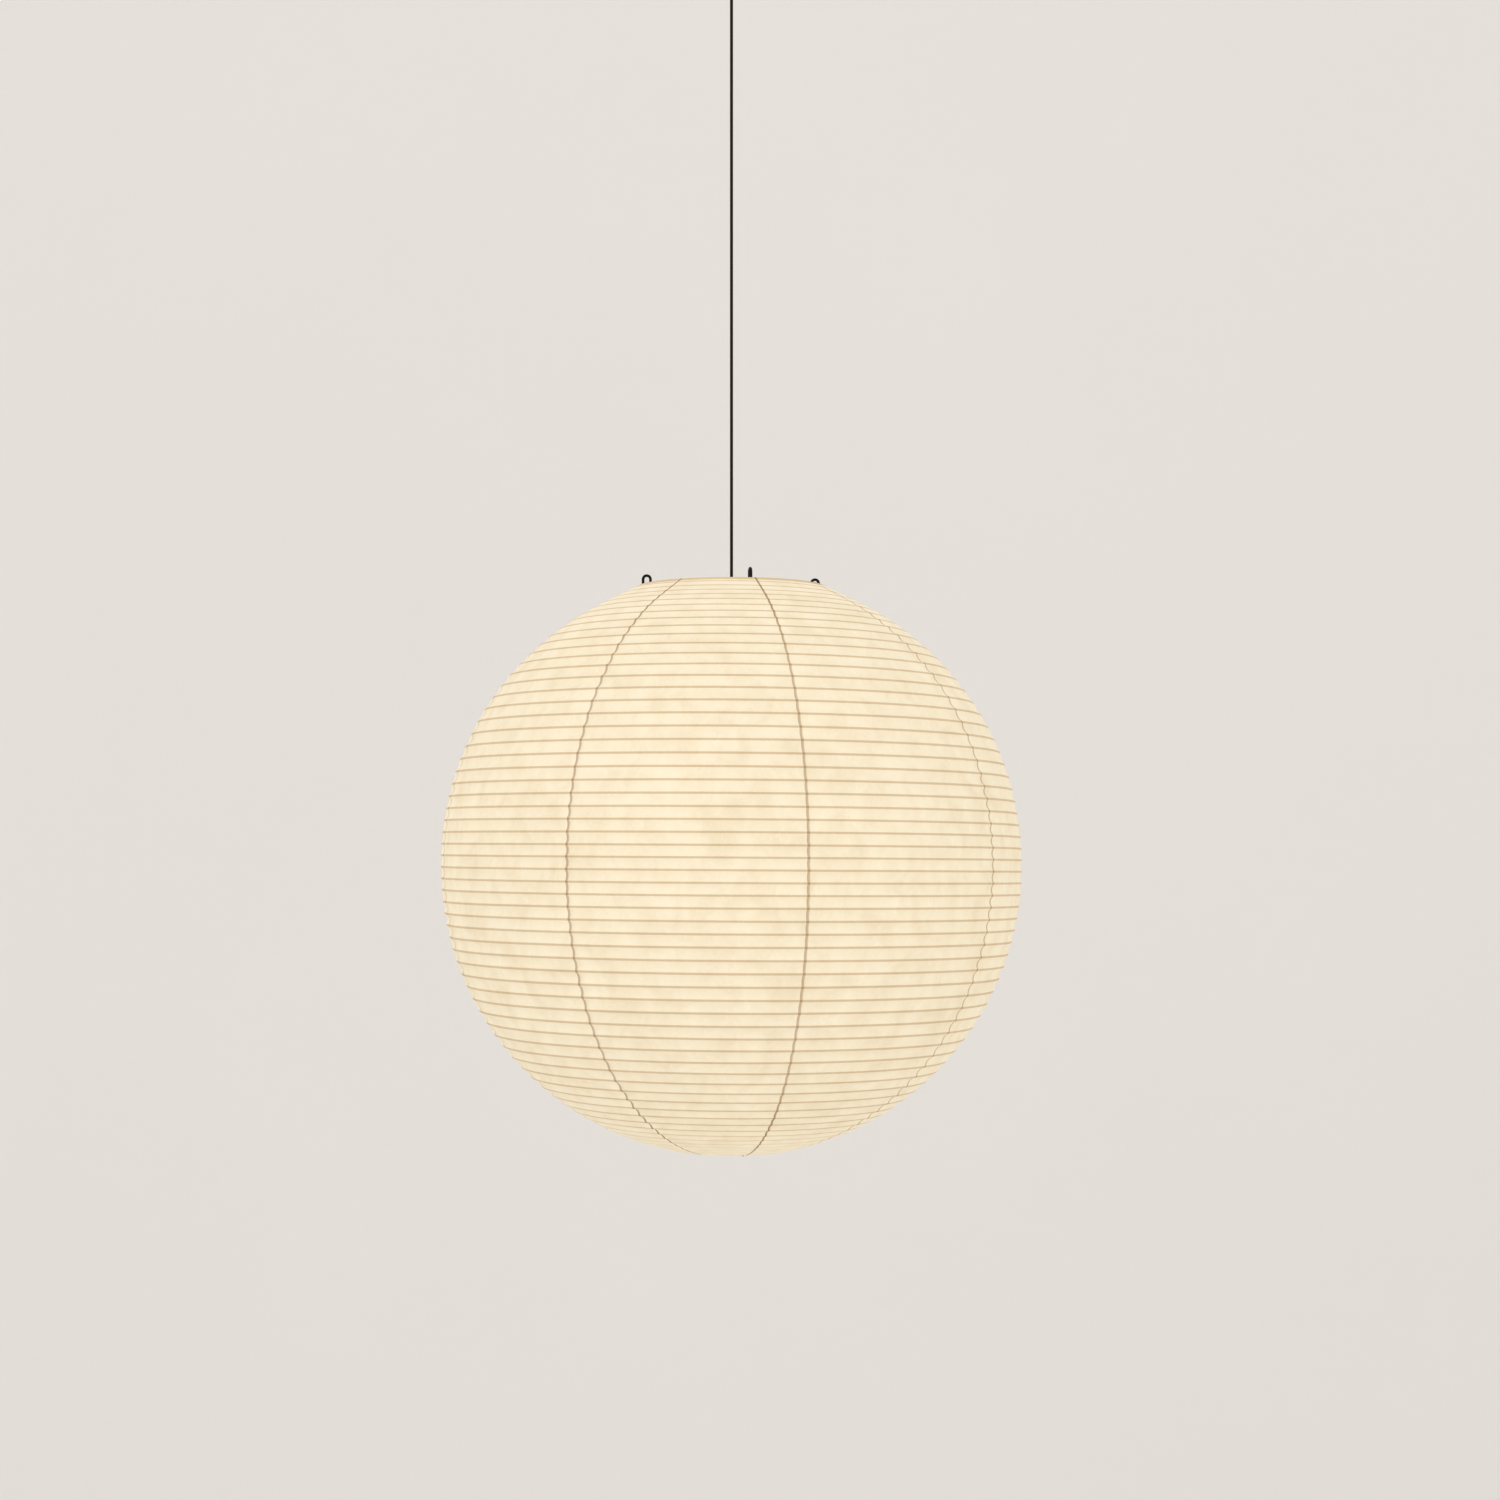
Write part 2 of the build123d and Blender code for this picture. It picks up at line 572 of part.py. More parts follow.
# ---------------------------------------------------------------- canopy and cord
def canopy():
    """The ceiling fitting's pieces by node name."""
    cup_profile = Pos(0, 0, -CANOPY_H / 2) * Cylinder(CANOPY_R, CANOPY_H)
    cup_profile = fillet(cup_profile.edges().group_by(Axis.Z)[0], CANOPY_CORNER)
    hollow = Pos(0, 0, -(CANOPY_H - CANOPY_WALL) / 2) * Cylinder(CANOPY_R - CANOPY_WALL, CANOPY_H - CANOPY_WALL)
    hollow = fillet(hollow.edges().group_by(Axis.Z)[0], CANOPY_CORNER - CANOPY_WALL)
    cup = cup_profile - hollow - rod(GRIP_STEM_R + SCREW_FIT, -CANOPY_H - 1, -CANOPY_H + CANOPY_WALL + 1)

    half_length = BRACKET_LENGTH / 2
    bracket = Pos(0, 0, -BRACKET_T / 2) * Box(BRACKET_LENGTH, BRACKET_WIDTH, BRACKET_T)
    screws = []
    for side in (-1, 1):
        tab_x = side * (half_length - BRACKET_T / 2)
        bracket += Pos(tab_x, 0, -BRACKET_TAB / 2) * Box(BRACKET_T, BRACKET_WIDTH, BRACKET_TAB)
        slot = Pos(side * SLOT_SPACING / 2, 0, -BRACKET_T / 2) * extrude(
            SlotOverall(SLOT_LENGTH, 2 * SLOT_R), BRACKET_T, both=True
        )
        bracket -= slot
        across = Pos(0, 0, -SIDE_SCREW_DROP) * Rot(0, 90, 0)
        hole = across * Cylinder(SIDE_SCREW_R + SCREW_FIT, 4 * CANOPY_R)
        cup -= hole
        bracket -= hole
        head_x = side * (CANOPY_R + SCREW_FIT + SIDE_SCREW_HEAD_H / 2)
        shank_x = side * (CANOPY_R + SCREW_FIT - SIDE_SCREW_LENGTH / 2)
        head = Pos(head_x, 0, -SIDE_SCREW_DROP) * Rot(0, 90, 0) * Cylinder(SIDE_SCREW_HEAD_R, SIDE_SCREW_HEAD_H)
        drive = Pos(head_x + side * SIDE_SCREW_HEAD_H / 2, 0, -SIDE_SCREW_DROP) * Box(1.4, 7, 0.9)
        shank = Pos(shank_x, 0, -SIDE_SCREW_DROP) * Rot(0, 90, 0) * Cylinder(SIDE_SCREW_R, SIDE_SCREW_LENGTH)
        screws.append(head - drive + shank)

    stem_top = CANOPY_BOTTOM + CANOPY_WALL + GRIP_STEM_H
    bore = CORD_R + RUNNING_FIT
    # A quarter turn keeps the turned body's closing line away from the screw hole.
    grip = Rot(0, 0, 90) * turned(
        [
            (bore, PIVOT_Z),
            (GRIP_MOUTH_R, GRIP_FACE),
            (GRIP_R - 1.2, GRIP_FACE),
            (GRIP_R, GRIP_FACE + 1.6),
            (GRIP_R, CANOPY_BOTTOM - SCREW_FIT),
            (GRIP_STEM_R, CANOPY_BOTTOM - SCREW_FIT),
            (GRIP_STEM_R, stem_top),
            (bore, stem_top),
        ]
    )
    screw_z = (GRIP_FACE + CANOPY_BOTTOM) / 2 + 1.0
    cross = Pos((bore + GRIP_R) / 2 + 1.0, 0, screw_z) * Rot(0, 90, 0)
    grip -= cross * Cylinder(GRIP_SCREW_R + SCREW_FIT, GRIP_R - bore + 2.0)
    grip_screw_length = GRIP_R - bore - SCREW_FIT
    grip_screw = Pos(bore + SCREW_FIT + grip_screw_length / 2, 0, screw_z) * Rot(0, 90, 0) * Cylinder(
        GRIP_SCREW_R, grip_screw_length
    )
    nut_low = CANOPY_BOTTOM + CANOPY_WALL + SCREW_FIT
    nut = Pos(0, 0, nut_low + GRIP_NUT_H / 2) * extrude(
        RegularPolygon(GRIP_NUT_R, 6), GRIP_NUT_H / 2, both=True
    )
    nut -= rod(GRIP_STEM_R + RUNNING_FIT, nut_low - 1, nut_low + GRIP_NUT_H + 1)

    tail_top = stem_top + 3.0
    tail = rod(CORD_R, PIVOT_Z + CORD_R + SEAT_GAP, tail_top)

    block_z = -BRACKET_T - 0.2 - BLOCK_Z / 2
    block = Pos(0, 0, block_z) * Box(BLOCK_X, BLOCK_Y, BLOCK_Z)
    block_screws = []
    cores = []
    for pole in range(BLOCK_POLES):
        pole_x = (pole - (BLOCK_POLES - 1) / 2) * BLOCK_X / BLOCK_POLES
        block -= Pos(pole_x, 0, block_z - 1.5) * Rot(90, 0, 0) * Cylinder(BLOCK_HOLE_R, BLOCK_Y + 2)
        for side in (-1, 1):
            well = rod(BLOCK_WELL_R, block_z - BLOCK_Z / 2 - 1, block_z - 1.5, x=pole_x, y=side * 3)
            block -= well
            block_screws.append(
                rod(BLOCK_SCREW_R, block_z - BLOCK_Z / 2 - 0.5, block_z - 3.2, x=pole_x, y=side * 3)
            )
        start = Vector(CORE_SPREAD * (1 if pole_x > 0 else -1), 0, tail_top + 0.2)
        path = FilletPolyline(
            start,
            start + Vector(0, 0, 5),
            Vector(pole_x, -14.0, block_z - 8.0),
            Vector(pole_x, -14.0, block_z - 1.5),
            Vector(pole_x, -BLOCK_Y / 2 + 1.0, block_z - 1.5),
            radius=1.9,
        )
        cores.append(sweep(Plane(origin=path @ 0, z_dir=path % 0) * Circle(CORE_R), path=path))
    return {
        "ceiling_bracket": bracket,
        "canopy_cup": cup,
        "canopy_side_screws": Compound(children=screws),
        "cord_grip": grip,
        "cord_grip_screw": grip_screw,
        "cord_grip_nut": nut,
        "cord_tail": tail,
        "terminal_block": block,
        "terminal_screws": Compound(children=block_screws),
        "ceiling_cores": Compound(children=cores),
    }


def hanging_cord():
    """The cord's bend in the grip's mouth, and its long straight run down to the lampholder."""
    bend = Pos(0, 0, PIVOT_Z) * Sphere(CORD_R)
    low = CAP_TOP - CAP_WALL - 4
    run = rod(CORD_R, low, PIVOT_Z - CORD_R - SEAT_GAP)
    return {"cord_bend": bend, "cord": run}


# ---------------------------------------------------------------- build
def build():
    """Make every node."""
    top_hoop, top_binding = bound_hoop(TOP_HOOP_R, HOOP_TOP_Z, TOP_HOOP_WIRE_R)
    bottom_hoop, bottom_binding = bound_hoop(BOTTOM_HOOP_R, HOOP_BOTTOM_Z, BOTTOM_HOOP_WIRE_R)
    inner_eye_z = EYE_Z - EYE_STEP
    inner_bar_z = BAR_Z + EYE_STEP
    nodes = {
        "top_hoop": top_hoop,
        "top_binding": top_binding,
        "bottom_hoop": bottom_hoop,
        "bottom_binding": bottom_binding,
        "bamboo_rib": bamboo_rib(),
        "frame_outer_arms": bearing(frame_arms(EYE_Z), OUTER_BEARING),
        "frame_outer_legs": bearing(frame_legs(EYE_Z, BAR_Z), OUTER_BEARING),
        "frame_inner_arms": bearing(frame_arms(inner_eye_z), FRAME_FRONT_DEG),
        "frame_inner_legs": bearing(frame_legs(inner_eye_z, inner_bar_z), FRAME_FRONT_DEG),
        "frame_rivet": frame_rivet(inner_bar_z, BAR_Z),
    }
    for index in range(GORES):
        nodes[f"paper_gore_{index + 1}"] = gore(index)
    nodes.update(lampholder())
    nodes.update(bulb())
    nodes.update(canopy())
    nodes.update(hanging_cord())
    return nodes


for node, shape in build().items():
    save(shape, node)
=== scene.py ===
"""A round paper lantern on its cord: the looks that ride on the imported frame."""

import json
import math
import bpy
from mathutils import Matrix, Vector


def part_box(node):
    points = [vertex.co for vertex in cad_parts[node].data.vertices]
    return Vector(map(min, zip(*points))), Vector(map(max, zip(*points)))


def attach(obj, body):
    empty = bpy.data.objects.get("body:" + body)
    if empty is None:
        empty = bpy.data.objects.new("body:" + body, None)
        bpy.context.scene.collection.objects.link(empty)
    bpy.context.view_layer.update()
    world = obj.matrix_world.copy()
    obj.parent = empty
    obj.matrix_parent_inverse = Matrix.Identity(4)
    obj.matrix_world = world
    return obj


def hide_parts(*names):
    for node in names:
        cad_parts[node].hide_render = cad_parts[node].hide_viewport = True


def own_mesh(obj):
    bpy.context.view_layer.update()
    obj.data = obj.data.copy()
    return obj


bl_info = {
    "name": "Paper Lantern",
    "version": (1, 0, 0),
    "blender": (4, 5, 0),
    "location": "View3D > Sidebar > Lantern",
    "description": "Builds the paper, rib, bindings, cord and finishes of a round hanging lantern",
    "category": "Object",
}

import bmesh
import bpy
import numpy as np

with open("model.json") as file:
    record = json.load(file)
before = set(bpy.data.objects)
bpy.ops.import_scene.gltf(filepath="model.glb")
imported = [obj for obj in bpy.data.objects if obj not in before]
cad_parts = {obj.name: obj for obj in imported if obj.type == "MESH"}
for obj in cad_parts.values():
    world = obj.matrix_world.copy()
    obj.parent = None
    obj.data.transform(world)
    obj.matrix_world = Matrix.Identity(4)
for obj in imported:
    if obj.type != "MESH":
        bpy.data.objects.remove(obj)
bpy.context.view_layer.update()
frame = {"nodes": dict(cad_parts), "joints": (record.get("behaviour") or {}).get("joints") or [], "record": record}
NODES = frame["nodes"]
GORE_NODES = sorted(n for n in NODES if n.startswith("paper_gore_"))

# ---------------------------------------------------------------- the frame's own sizes
GORE_BOXES = [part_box(n) for n in GORE_NODES]
RIM_Z = max(high.z for low, high in GORE_BOXES)
MOUTH_Z = min(low.z for low, high in GORE_BOXES)
BALL_R = max(max(abs(low.x), abs(high.x)) for low, high in GORE_BOXES)
CORD_FOOT, CORD_TOP = (corner.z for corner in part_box("cord"))
FOLD_TRAVEL = next(joint["range_m"][1] for joint in frame["joints"] if joint["name"] == "shade_fold")

# ---------------------------------------------------------------- how finely and loosely it is drawn
SAME_POINT = 1e-7  # metres under which two points are one
WANDER_SEED = 41
WANDER_WAVES = (1, 2, 3, 5, 8, 13)  # waves round the ball that the rib's wander is summed from
GORE_COLUMNS = 25
ROW_STEPS = (0.0, 0.1, 0.2, 0.34, 0.5, 0.66, 0.8, 0.9)  # rows from one turn of the rib to the next
EDGE_ROW_GAP = 0.04  # turns kept free between the last row and an opening's edge
ON_RIB = 0.1  # share of the way between two turns where the paper lies on the rib, on each side
LEVEL_TURNS = 2.0  # turns over which the rows level out at an opening
TAUT_TURNS = 11.0  # turns over which the draw-in grows from an opening
DRAWN_POWER = 0.8  # under 1 the paper between two turns is pulled in more squarely
BESIDE_SEAM = 0.09  # bearing from a seam, in radians, where the paper is pulled in more
LAY_TURNS = 80.0  # turns that the gores' lay map spans, half of them above the front turn
RIB_TUCK = 0.7  # turns by which the rib stops short of each opening's edge
RIB_POINTS = 96  # points along one turn of the rib
GLUE = 0.0001  # metres between the paper and the rib
RIB_ROUND = 0.28  # share of the rib's thickness that is rounded off, and half that share of its width
BAMBOO_JOINTS = 400.0  # dark joints of the bamboo along the whole rib
CORD_ENDS = 0.024  # metres from each end of the cord to the next point of its curve
CORD_HALFWAY = -0.5  # height of the curve's middle point
WRAPS = 46.0  # wraps of the paper strip round one hoop

# ---------------------------------------------------------------- where marks on the paper fade
TURN_PITCH = 0.0167  # metres, like all of these: mean way along the paper between two turns
LINE_EDGE = (0.0009, 0.0019)  # from a turn's middle
SEAM_EDGE = (0.0027, 0.0040)  # from the upper gore's cut edge
CUT_EDGE = (0.0003, 0.0009)  # from the same cut edge, for the painted thin shadow that the edge casts
RIM_EDGE = (0.0028, 0.0040)  # under the rim, for the stained band over the hoop
RAGGED_LINE = 0.0004  # how far the edges of lines and seams wander
RAGGED_RIM = 0.0006
FAINT_HEIGHTS = (0.050, 0.010)  # over the bottom edge, where the rib's lines grow faint
NARROW_REACH = (0.80, 0.45)  # shares of the ball's radius, between which the seams grow dark

# ---------------------------------------------------------------- stage
SENSOR_WIDTH = 36.0
DAY_COLOUR = (1.0, 0.985, 0.96, 1.0)
LAMP_COLOUR = (1.0, 0.99, 0.975)
KEY_PLACE = (-1.9, -2.6, 1.5)  # metres from the ball's middle
FILL_PLACE = (1.0, -2.7, -0.45)
SWEEP_SIDE = 12.0  # metres from the axis to the floor's left, right and front edges
SWEEP_BEND = 0.35  # radius of the bend from the floor to the wall
WALL_HEIGHT = 8.0


def srgb(red, green, blue):
    """A display colour from 0 to 255 as the linear colour that a shader takes."""
    share = np.array([red, green, blue], float) / 255.0
    linear = np.where(share <= 0.04045, share / 12.92, ((share + 0.055) / 1.055) ** 2.4)
    return tuple(float(value) for value in linear)


# ---------------------------------------------------------------- settings
def colour(label, text, value):
    """A colour setting for the panel."""
    return bpy.props.FloatVectorProperty(
        name=label, description=text, subtype="COLOR", size=3, min=0.0, max=1.0, default=value
    )


def size(label, text, value, low=0.0, high=10.0):
    """A length setting for the panel, in metres."""
    return bpy.props.FloatProperty(
        name=label, description=text, default=value, min=low, max=high, unit="LENGTH", precision=5
    )


def number(label, text, value, low=-1000.0, high=1000.0):
    """A plain number setting for the panel."""
    return bpy.props.FloatProperty(name=label, description=text, default=value, min=low, max=high)


class LanternShade(bpy.types.PropertyGroup):
    """The paper ball, its rib and its hoops."""

    radius: size("Ball radius", "Radius of the ball over its ribs", BALL_R)
    middle_z: size("Middle height", "Height of the ball's middle in the frame", -1.2, -10.0)
    waist: size("Waist", "Height of the straight stretch at the middle", 0.0038)
    cone_start: size("Cone start", "Radius where the paper starts to run straight to the hoop", 0.169)
    top_mouth: size("Top opening", "Radius of the paper at the top opening", 0.122)
    bottom_mouth: size("Bottom opening", "Radius of the paper at the bottom opening", 0.075)
    gores: bpy.props.IntProperty(name="Gores", description="Number of gores", default=8, min=3, max=16)
    first_seam: number("First seam", "Bearing from the front to the right, in degrees", 14.0)
    tab: size("Glued tab", "How far one gore is glued under the next, at the middle", 0.004)
    paper: size("Paper", "Thickness of the paper", 0.00025)
    tab_gap: size("Tab step", "How far the lower layer lies under the upper one", 0.0003)
    turns_above: number("Turns above", "Turns of the rib from the middle to the top edge", 28.5)
    turns_below: number("Turns below", "Turns of the rib from the middle to the bottom edge", 31.3)
    swell: number("Pitch swell", "How much further apart the turns are half way up and down", 0.11)
    rib_front: size("Rib at the front", "Height of a turn at the front over the middle", -0.0056, -1.0)
    rib_width: size("Rib width", "Width of the bamboo strip", 0.0026)
    rib_depth: size("Rib depth", "Thickness of the bamboo strip", 0.0009)
    draw_in: size("Draw-in", "How far the dried paper pulls in between two turns", 0.0019)
    wander: number("Wander", "How far a turn strays from its even place, in turns", 0.012)


class LanternCord(bpy.types.PropertyGroup):
    """The hanging cord."""

    diameter: size("Diameter", "Diameter of the sheath", 0.004)


class LanternStage(bpy.types.PropertyGroup):
    """The camera, the lights, the wall and the floor."""

    distance: size("Camera distance", "From the lantern's axis to the camera", 3.36)
    side: size("Camera side", "How far the camera stands to the right of the axis", 0.024, -5.0)
    above: size("Camera over middle", "How far the camera is above the ball's middle", 0.0068, -5.0)
    lens: number("Lens", "Focal length in millimetres on a 36 mm sensor", 62.1)
    shift: number("Lens shift", "Upward shift of the picture, as a share of its width", 0.073)
    wall_behind: size("Wall", "From the lantern's axis back to the wall", 4.2)
    floor_under: size("Floor", "From the ball's middle down to the floor", 3.3)
    daylight: number("Daylight", "Strength of the even light from all round", 0.915)
    key_size: size("Key size", "Width of the main light", 2.6)
    key_power: number("Key power", "Power of the main light in watts", 18.0)
    fill_size: size("Fill size", "Width of the second light", 1.6)
    fill_power: number("Fill power", "Power of the second light in watts", 9.0)


class LanternColours(bpy.types.PropertyGroup):
    """The finishes' colours."""

    paper: colour("Paper", "Washi paper by reflected light", (0.520, 0.460, 0.348))
    # painted glow: the paper's emission, standing in for light through the paper and keeping the ball evenly
    # bright
    glow: colour("Glow", "Light that comes through the paper", (0.424, 0.366, 0.264))
    line: colour("Rib line", "What the rib behind the paper lets through", (0.735, 0.64, 0.535))
    seam: colour("Seam", "What two glued layers of paper let through", (0.69, 0.60, 0.52))
    binding: colour("Binding", "Paper wrapped round the hoops", srgb(214, 188, 144))
    bamboo: colour("Bamboo", "The split bamboo rib", srgb(196, 164, 112))
    wire: colour("Wire", "Lacquered wire", srgb(9, 8, 8))
    cord: colour("Cord", "The cord's sheath", srgb(34, 20, 11))
    wall: colour("Wall", "The wall behind and the floor below", (0.862, 0.842, 0.818))


# ---------------------------------------------------------------- surfaces
def surface(name, grid, wrap_rows=False, wrap_cols=False, maps=None, merge=0.0):
    """A smooth mesh over a grid of points, with its UV maps by name.

    Grid is rows x columns x 3. Point (i, j) is joined to (i + 1, j) and (i, j + 1), and a wrapped
    direction also joins its last line to its first. Faces point along (column step) x (row step).
    """
    rows, cols = grid.shape[:2]
    index = np.arange(rows * cols).reshape(rows, cols)
    down = np.roll(index, -1, axis=0)
    right = np.roll(index, -1, axis=1)
    both = np.roll(down, -1, axis=1)
    keep_r = rows if wrap_rows else rows - 1
    keep_c = cols if wrap_cols else cols - 1
    quads = np.stack([index, right, both, down], axis=-1)[:keep_r, :keep_c].reshape(-1, 4)
    mesh = bpy.data.meshes.new(name)
    mesh.vertices.add(rows * cols)
    mesh.vertices.foreach_set("co", grid.reshape(-1).astype(np.float32))
    mesh.loops.add(quads.size)
    mesh.loops.foreach_set("vertex_index", quads.reshape(-1).astype(np.int32))
    mesh.polygons.add(len(quads))
    mesh.polygons.foreach_set("loop_start", (np.arange(len(quads)) * 4).astype(np.int32))
    mesh.update(calc_edges=True)
    for key, uv in (maps or {}).items():
        layer = mesh.uv_layers.new(name=key)
        layer.data.foreach_set("uv", uv.reshape(-1, 2)[quads.reshape(-1)].reshape(-1).astype(np.float32))
    mesh.polygons.foreach_set("use_smooth", np.ones(len(mesh.polygons), bool))
    made = bpy.data.objects.new(name, mesh)
    bpy.context.scene.collection.objects.link(made)
    if merge > 0:
        weld(made, merge)
    mesh.validate()
    return made


def weld(piece, distance):
    """Join points that lie within a distance of each other."""
    work = bmesh.new()
    work.from_mesh(piece.data)
    bmesh.ops.remove_doubles(work, verts=work.verts, dist=distance)
    work.to_mesh(piece.data)
    work.free()
    piece.data.update()


def around(bearing, radius, height):
    """Points at a bearing from the front towards the right: (r sin b, -r cos b, z)."""
    right, back = radius * np.sin(bearing), -radius * np.cos(bearing)
    return np.stack([right, back, height + 0.0 * radius], axis=-1)


def carried(name, path, across, up, profile, maps=None):
    """A closed profile carried along a path, with both ends drawn together to a point on the path.

    A point is path + x * across + y * up, for each (x, y) of the profile, and the profile runs
    counterclockwise as seen against the path's direction.
    """
    grid = (
        path[:, None, :]
        + profile[None, :, 0, None] * across[:, None, :]
        + profile[None, :, 1, None] * up[:, None, :]
    )
    first = np.broadcast_to(path[:1, None, :], grid[:1].shape)
    last = np.broadcast_to(path[-1:, None, :], grid[:1].shape)
    closed = np.concatenate([first, grid, last])
    return surface(name, closed, wrap_cols=True, maps=maps, merge=SAME_POINT)


def smooth(low, high, value):
    """0 under low, 1 over high, and 3t^2 - 2t^3 between them."""
    t = np.clip((value - low) / (high - low), 0.0, 1.0)
    return t * t * (3.0 - 2.0 * t)


# ---------------------------------------------------------------- the shade's curves
class Outline:
    """The ball's half outline and the rib's turns on it."""

    def __init__(self, shade):
        self.shade = shade
        self.cone_climb = math.acos(shade.cone_start / shade.radius)
        self.cone_slope = shade.cone_start / math.sqrt(shade.radius**2 - shade.cone_start**2)
        cone_length = math.hypot(1.0, self.cone_slope) * (shade.cone_start - shade.top_mouth)
        self.top_reach = shade.waist / 2 + self.cone_climb * shade.radius + cone_length
        self.bottom_reach = shade.waist / 2 + math.acos(shade.bottom_mouth / shade.radius) * shade.radius
        self.front_turn = shade.rib_front / float(self.length(np.array(1.0)))

    def length(self, turn):
        """Length up the outline after some turns: reach * (share - swell / 2 pi * sin(2 pi share))."""
        above = turn > 0
        reach = np.where(above, self.top_reach, self.bottom_reach)
        share = turn / np.where(above, self.shade.turns_above, self.shade.turns_below)
        return reach * (share - self.shade.swell / (2 * np.pi) * np.sin(2 * np.pi * share))

    def point(self, turn, sink=0.0):
        """Radius and height on the outline after some turns, moved inwards along the normal by sink.

        An arc of the ball's radius above and below a short straight waist, then a straight cone.
        """
        length = self.length(turn)
        half = self.shade.waist / 2
        angle = np.sign(length) * np.maximum(np.abs(length) - half, 0.0) / self.shade.radius
        arc = np.minimum(angle, self.cone_climb)
        height = np.clip(length, -half, half) + self.shade.radius * np.sin(arc)
        radius = self.shade.radius * np.cos(arc)
        past_ball = np.maximum(angle - self.cone_climb, 0.0) * self.shade.radius
        along = past_ball / math.hypot(1.0, self.cone_slope)
        on_cone = along > 0
        radius = np.where(on_cone, self.shade.cone_start - along, radius)
        height = np.where(on_cone, height + self.cone_slope * along, height)
        climb = np.clip(angle, -np.pi / 2, self.cone_climb)
        return radius - sink * np.cos(climb), self.shade.middle_z + height - sink * np.sin(climb)

    def stray(self, bearing, turn):
        """How far a turn strays from its even place, in turns.

        A sum of push * sin(waves * bearing + climb * turn + start), with seeded pushes, climbs, starts.
        """
        dice = np.random.default_rng(WANDER_SEED)
        total = np.zeros(np.broadcast(bearing, turn).shape)
        for waves in WANDER_WAVES:
            push = dice.uniform(0.35, 1.0) / math.sqrt(waves)
            climb = dice.uniform(0.6, 2.6)
            start = dice.uniform(0.0, 2 * np.pi)
            total = total + push * np.sin(waves * bearing + climb * turn + start)
        return self.shade.wander * 0.5 * total

    def off_edges(self, turn, turns):
        """0 at both openings' edges and 1 from some turns away, with a smooth step between."""
        from_top = smooth(0.0, turns, self.shade.turns_above - turn)
        return from_top * smooth(0.0, turns, turn + self.shade.turns_below)

    def at_rib(self, bearing, count):
        """The level turn number where the rib's unwound count passes a bearing."""
        even = count + self.front_turn - bearing / (2 * np.pi)
        return even + self.stray(bearing, even)


def gore_width(shade):
    """The width of one gore at the middle, with its glued tab."""
    return 2 * math.pi * shade.radius / shade.gores + shade.tab


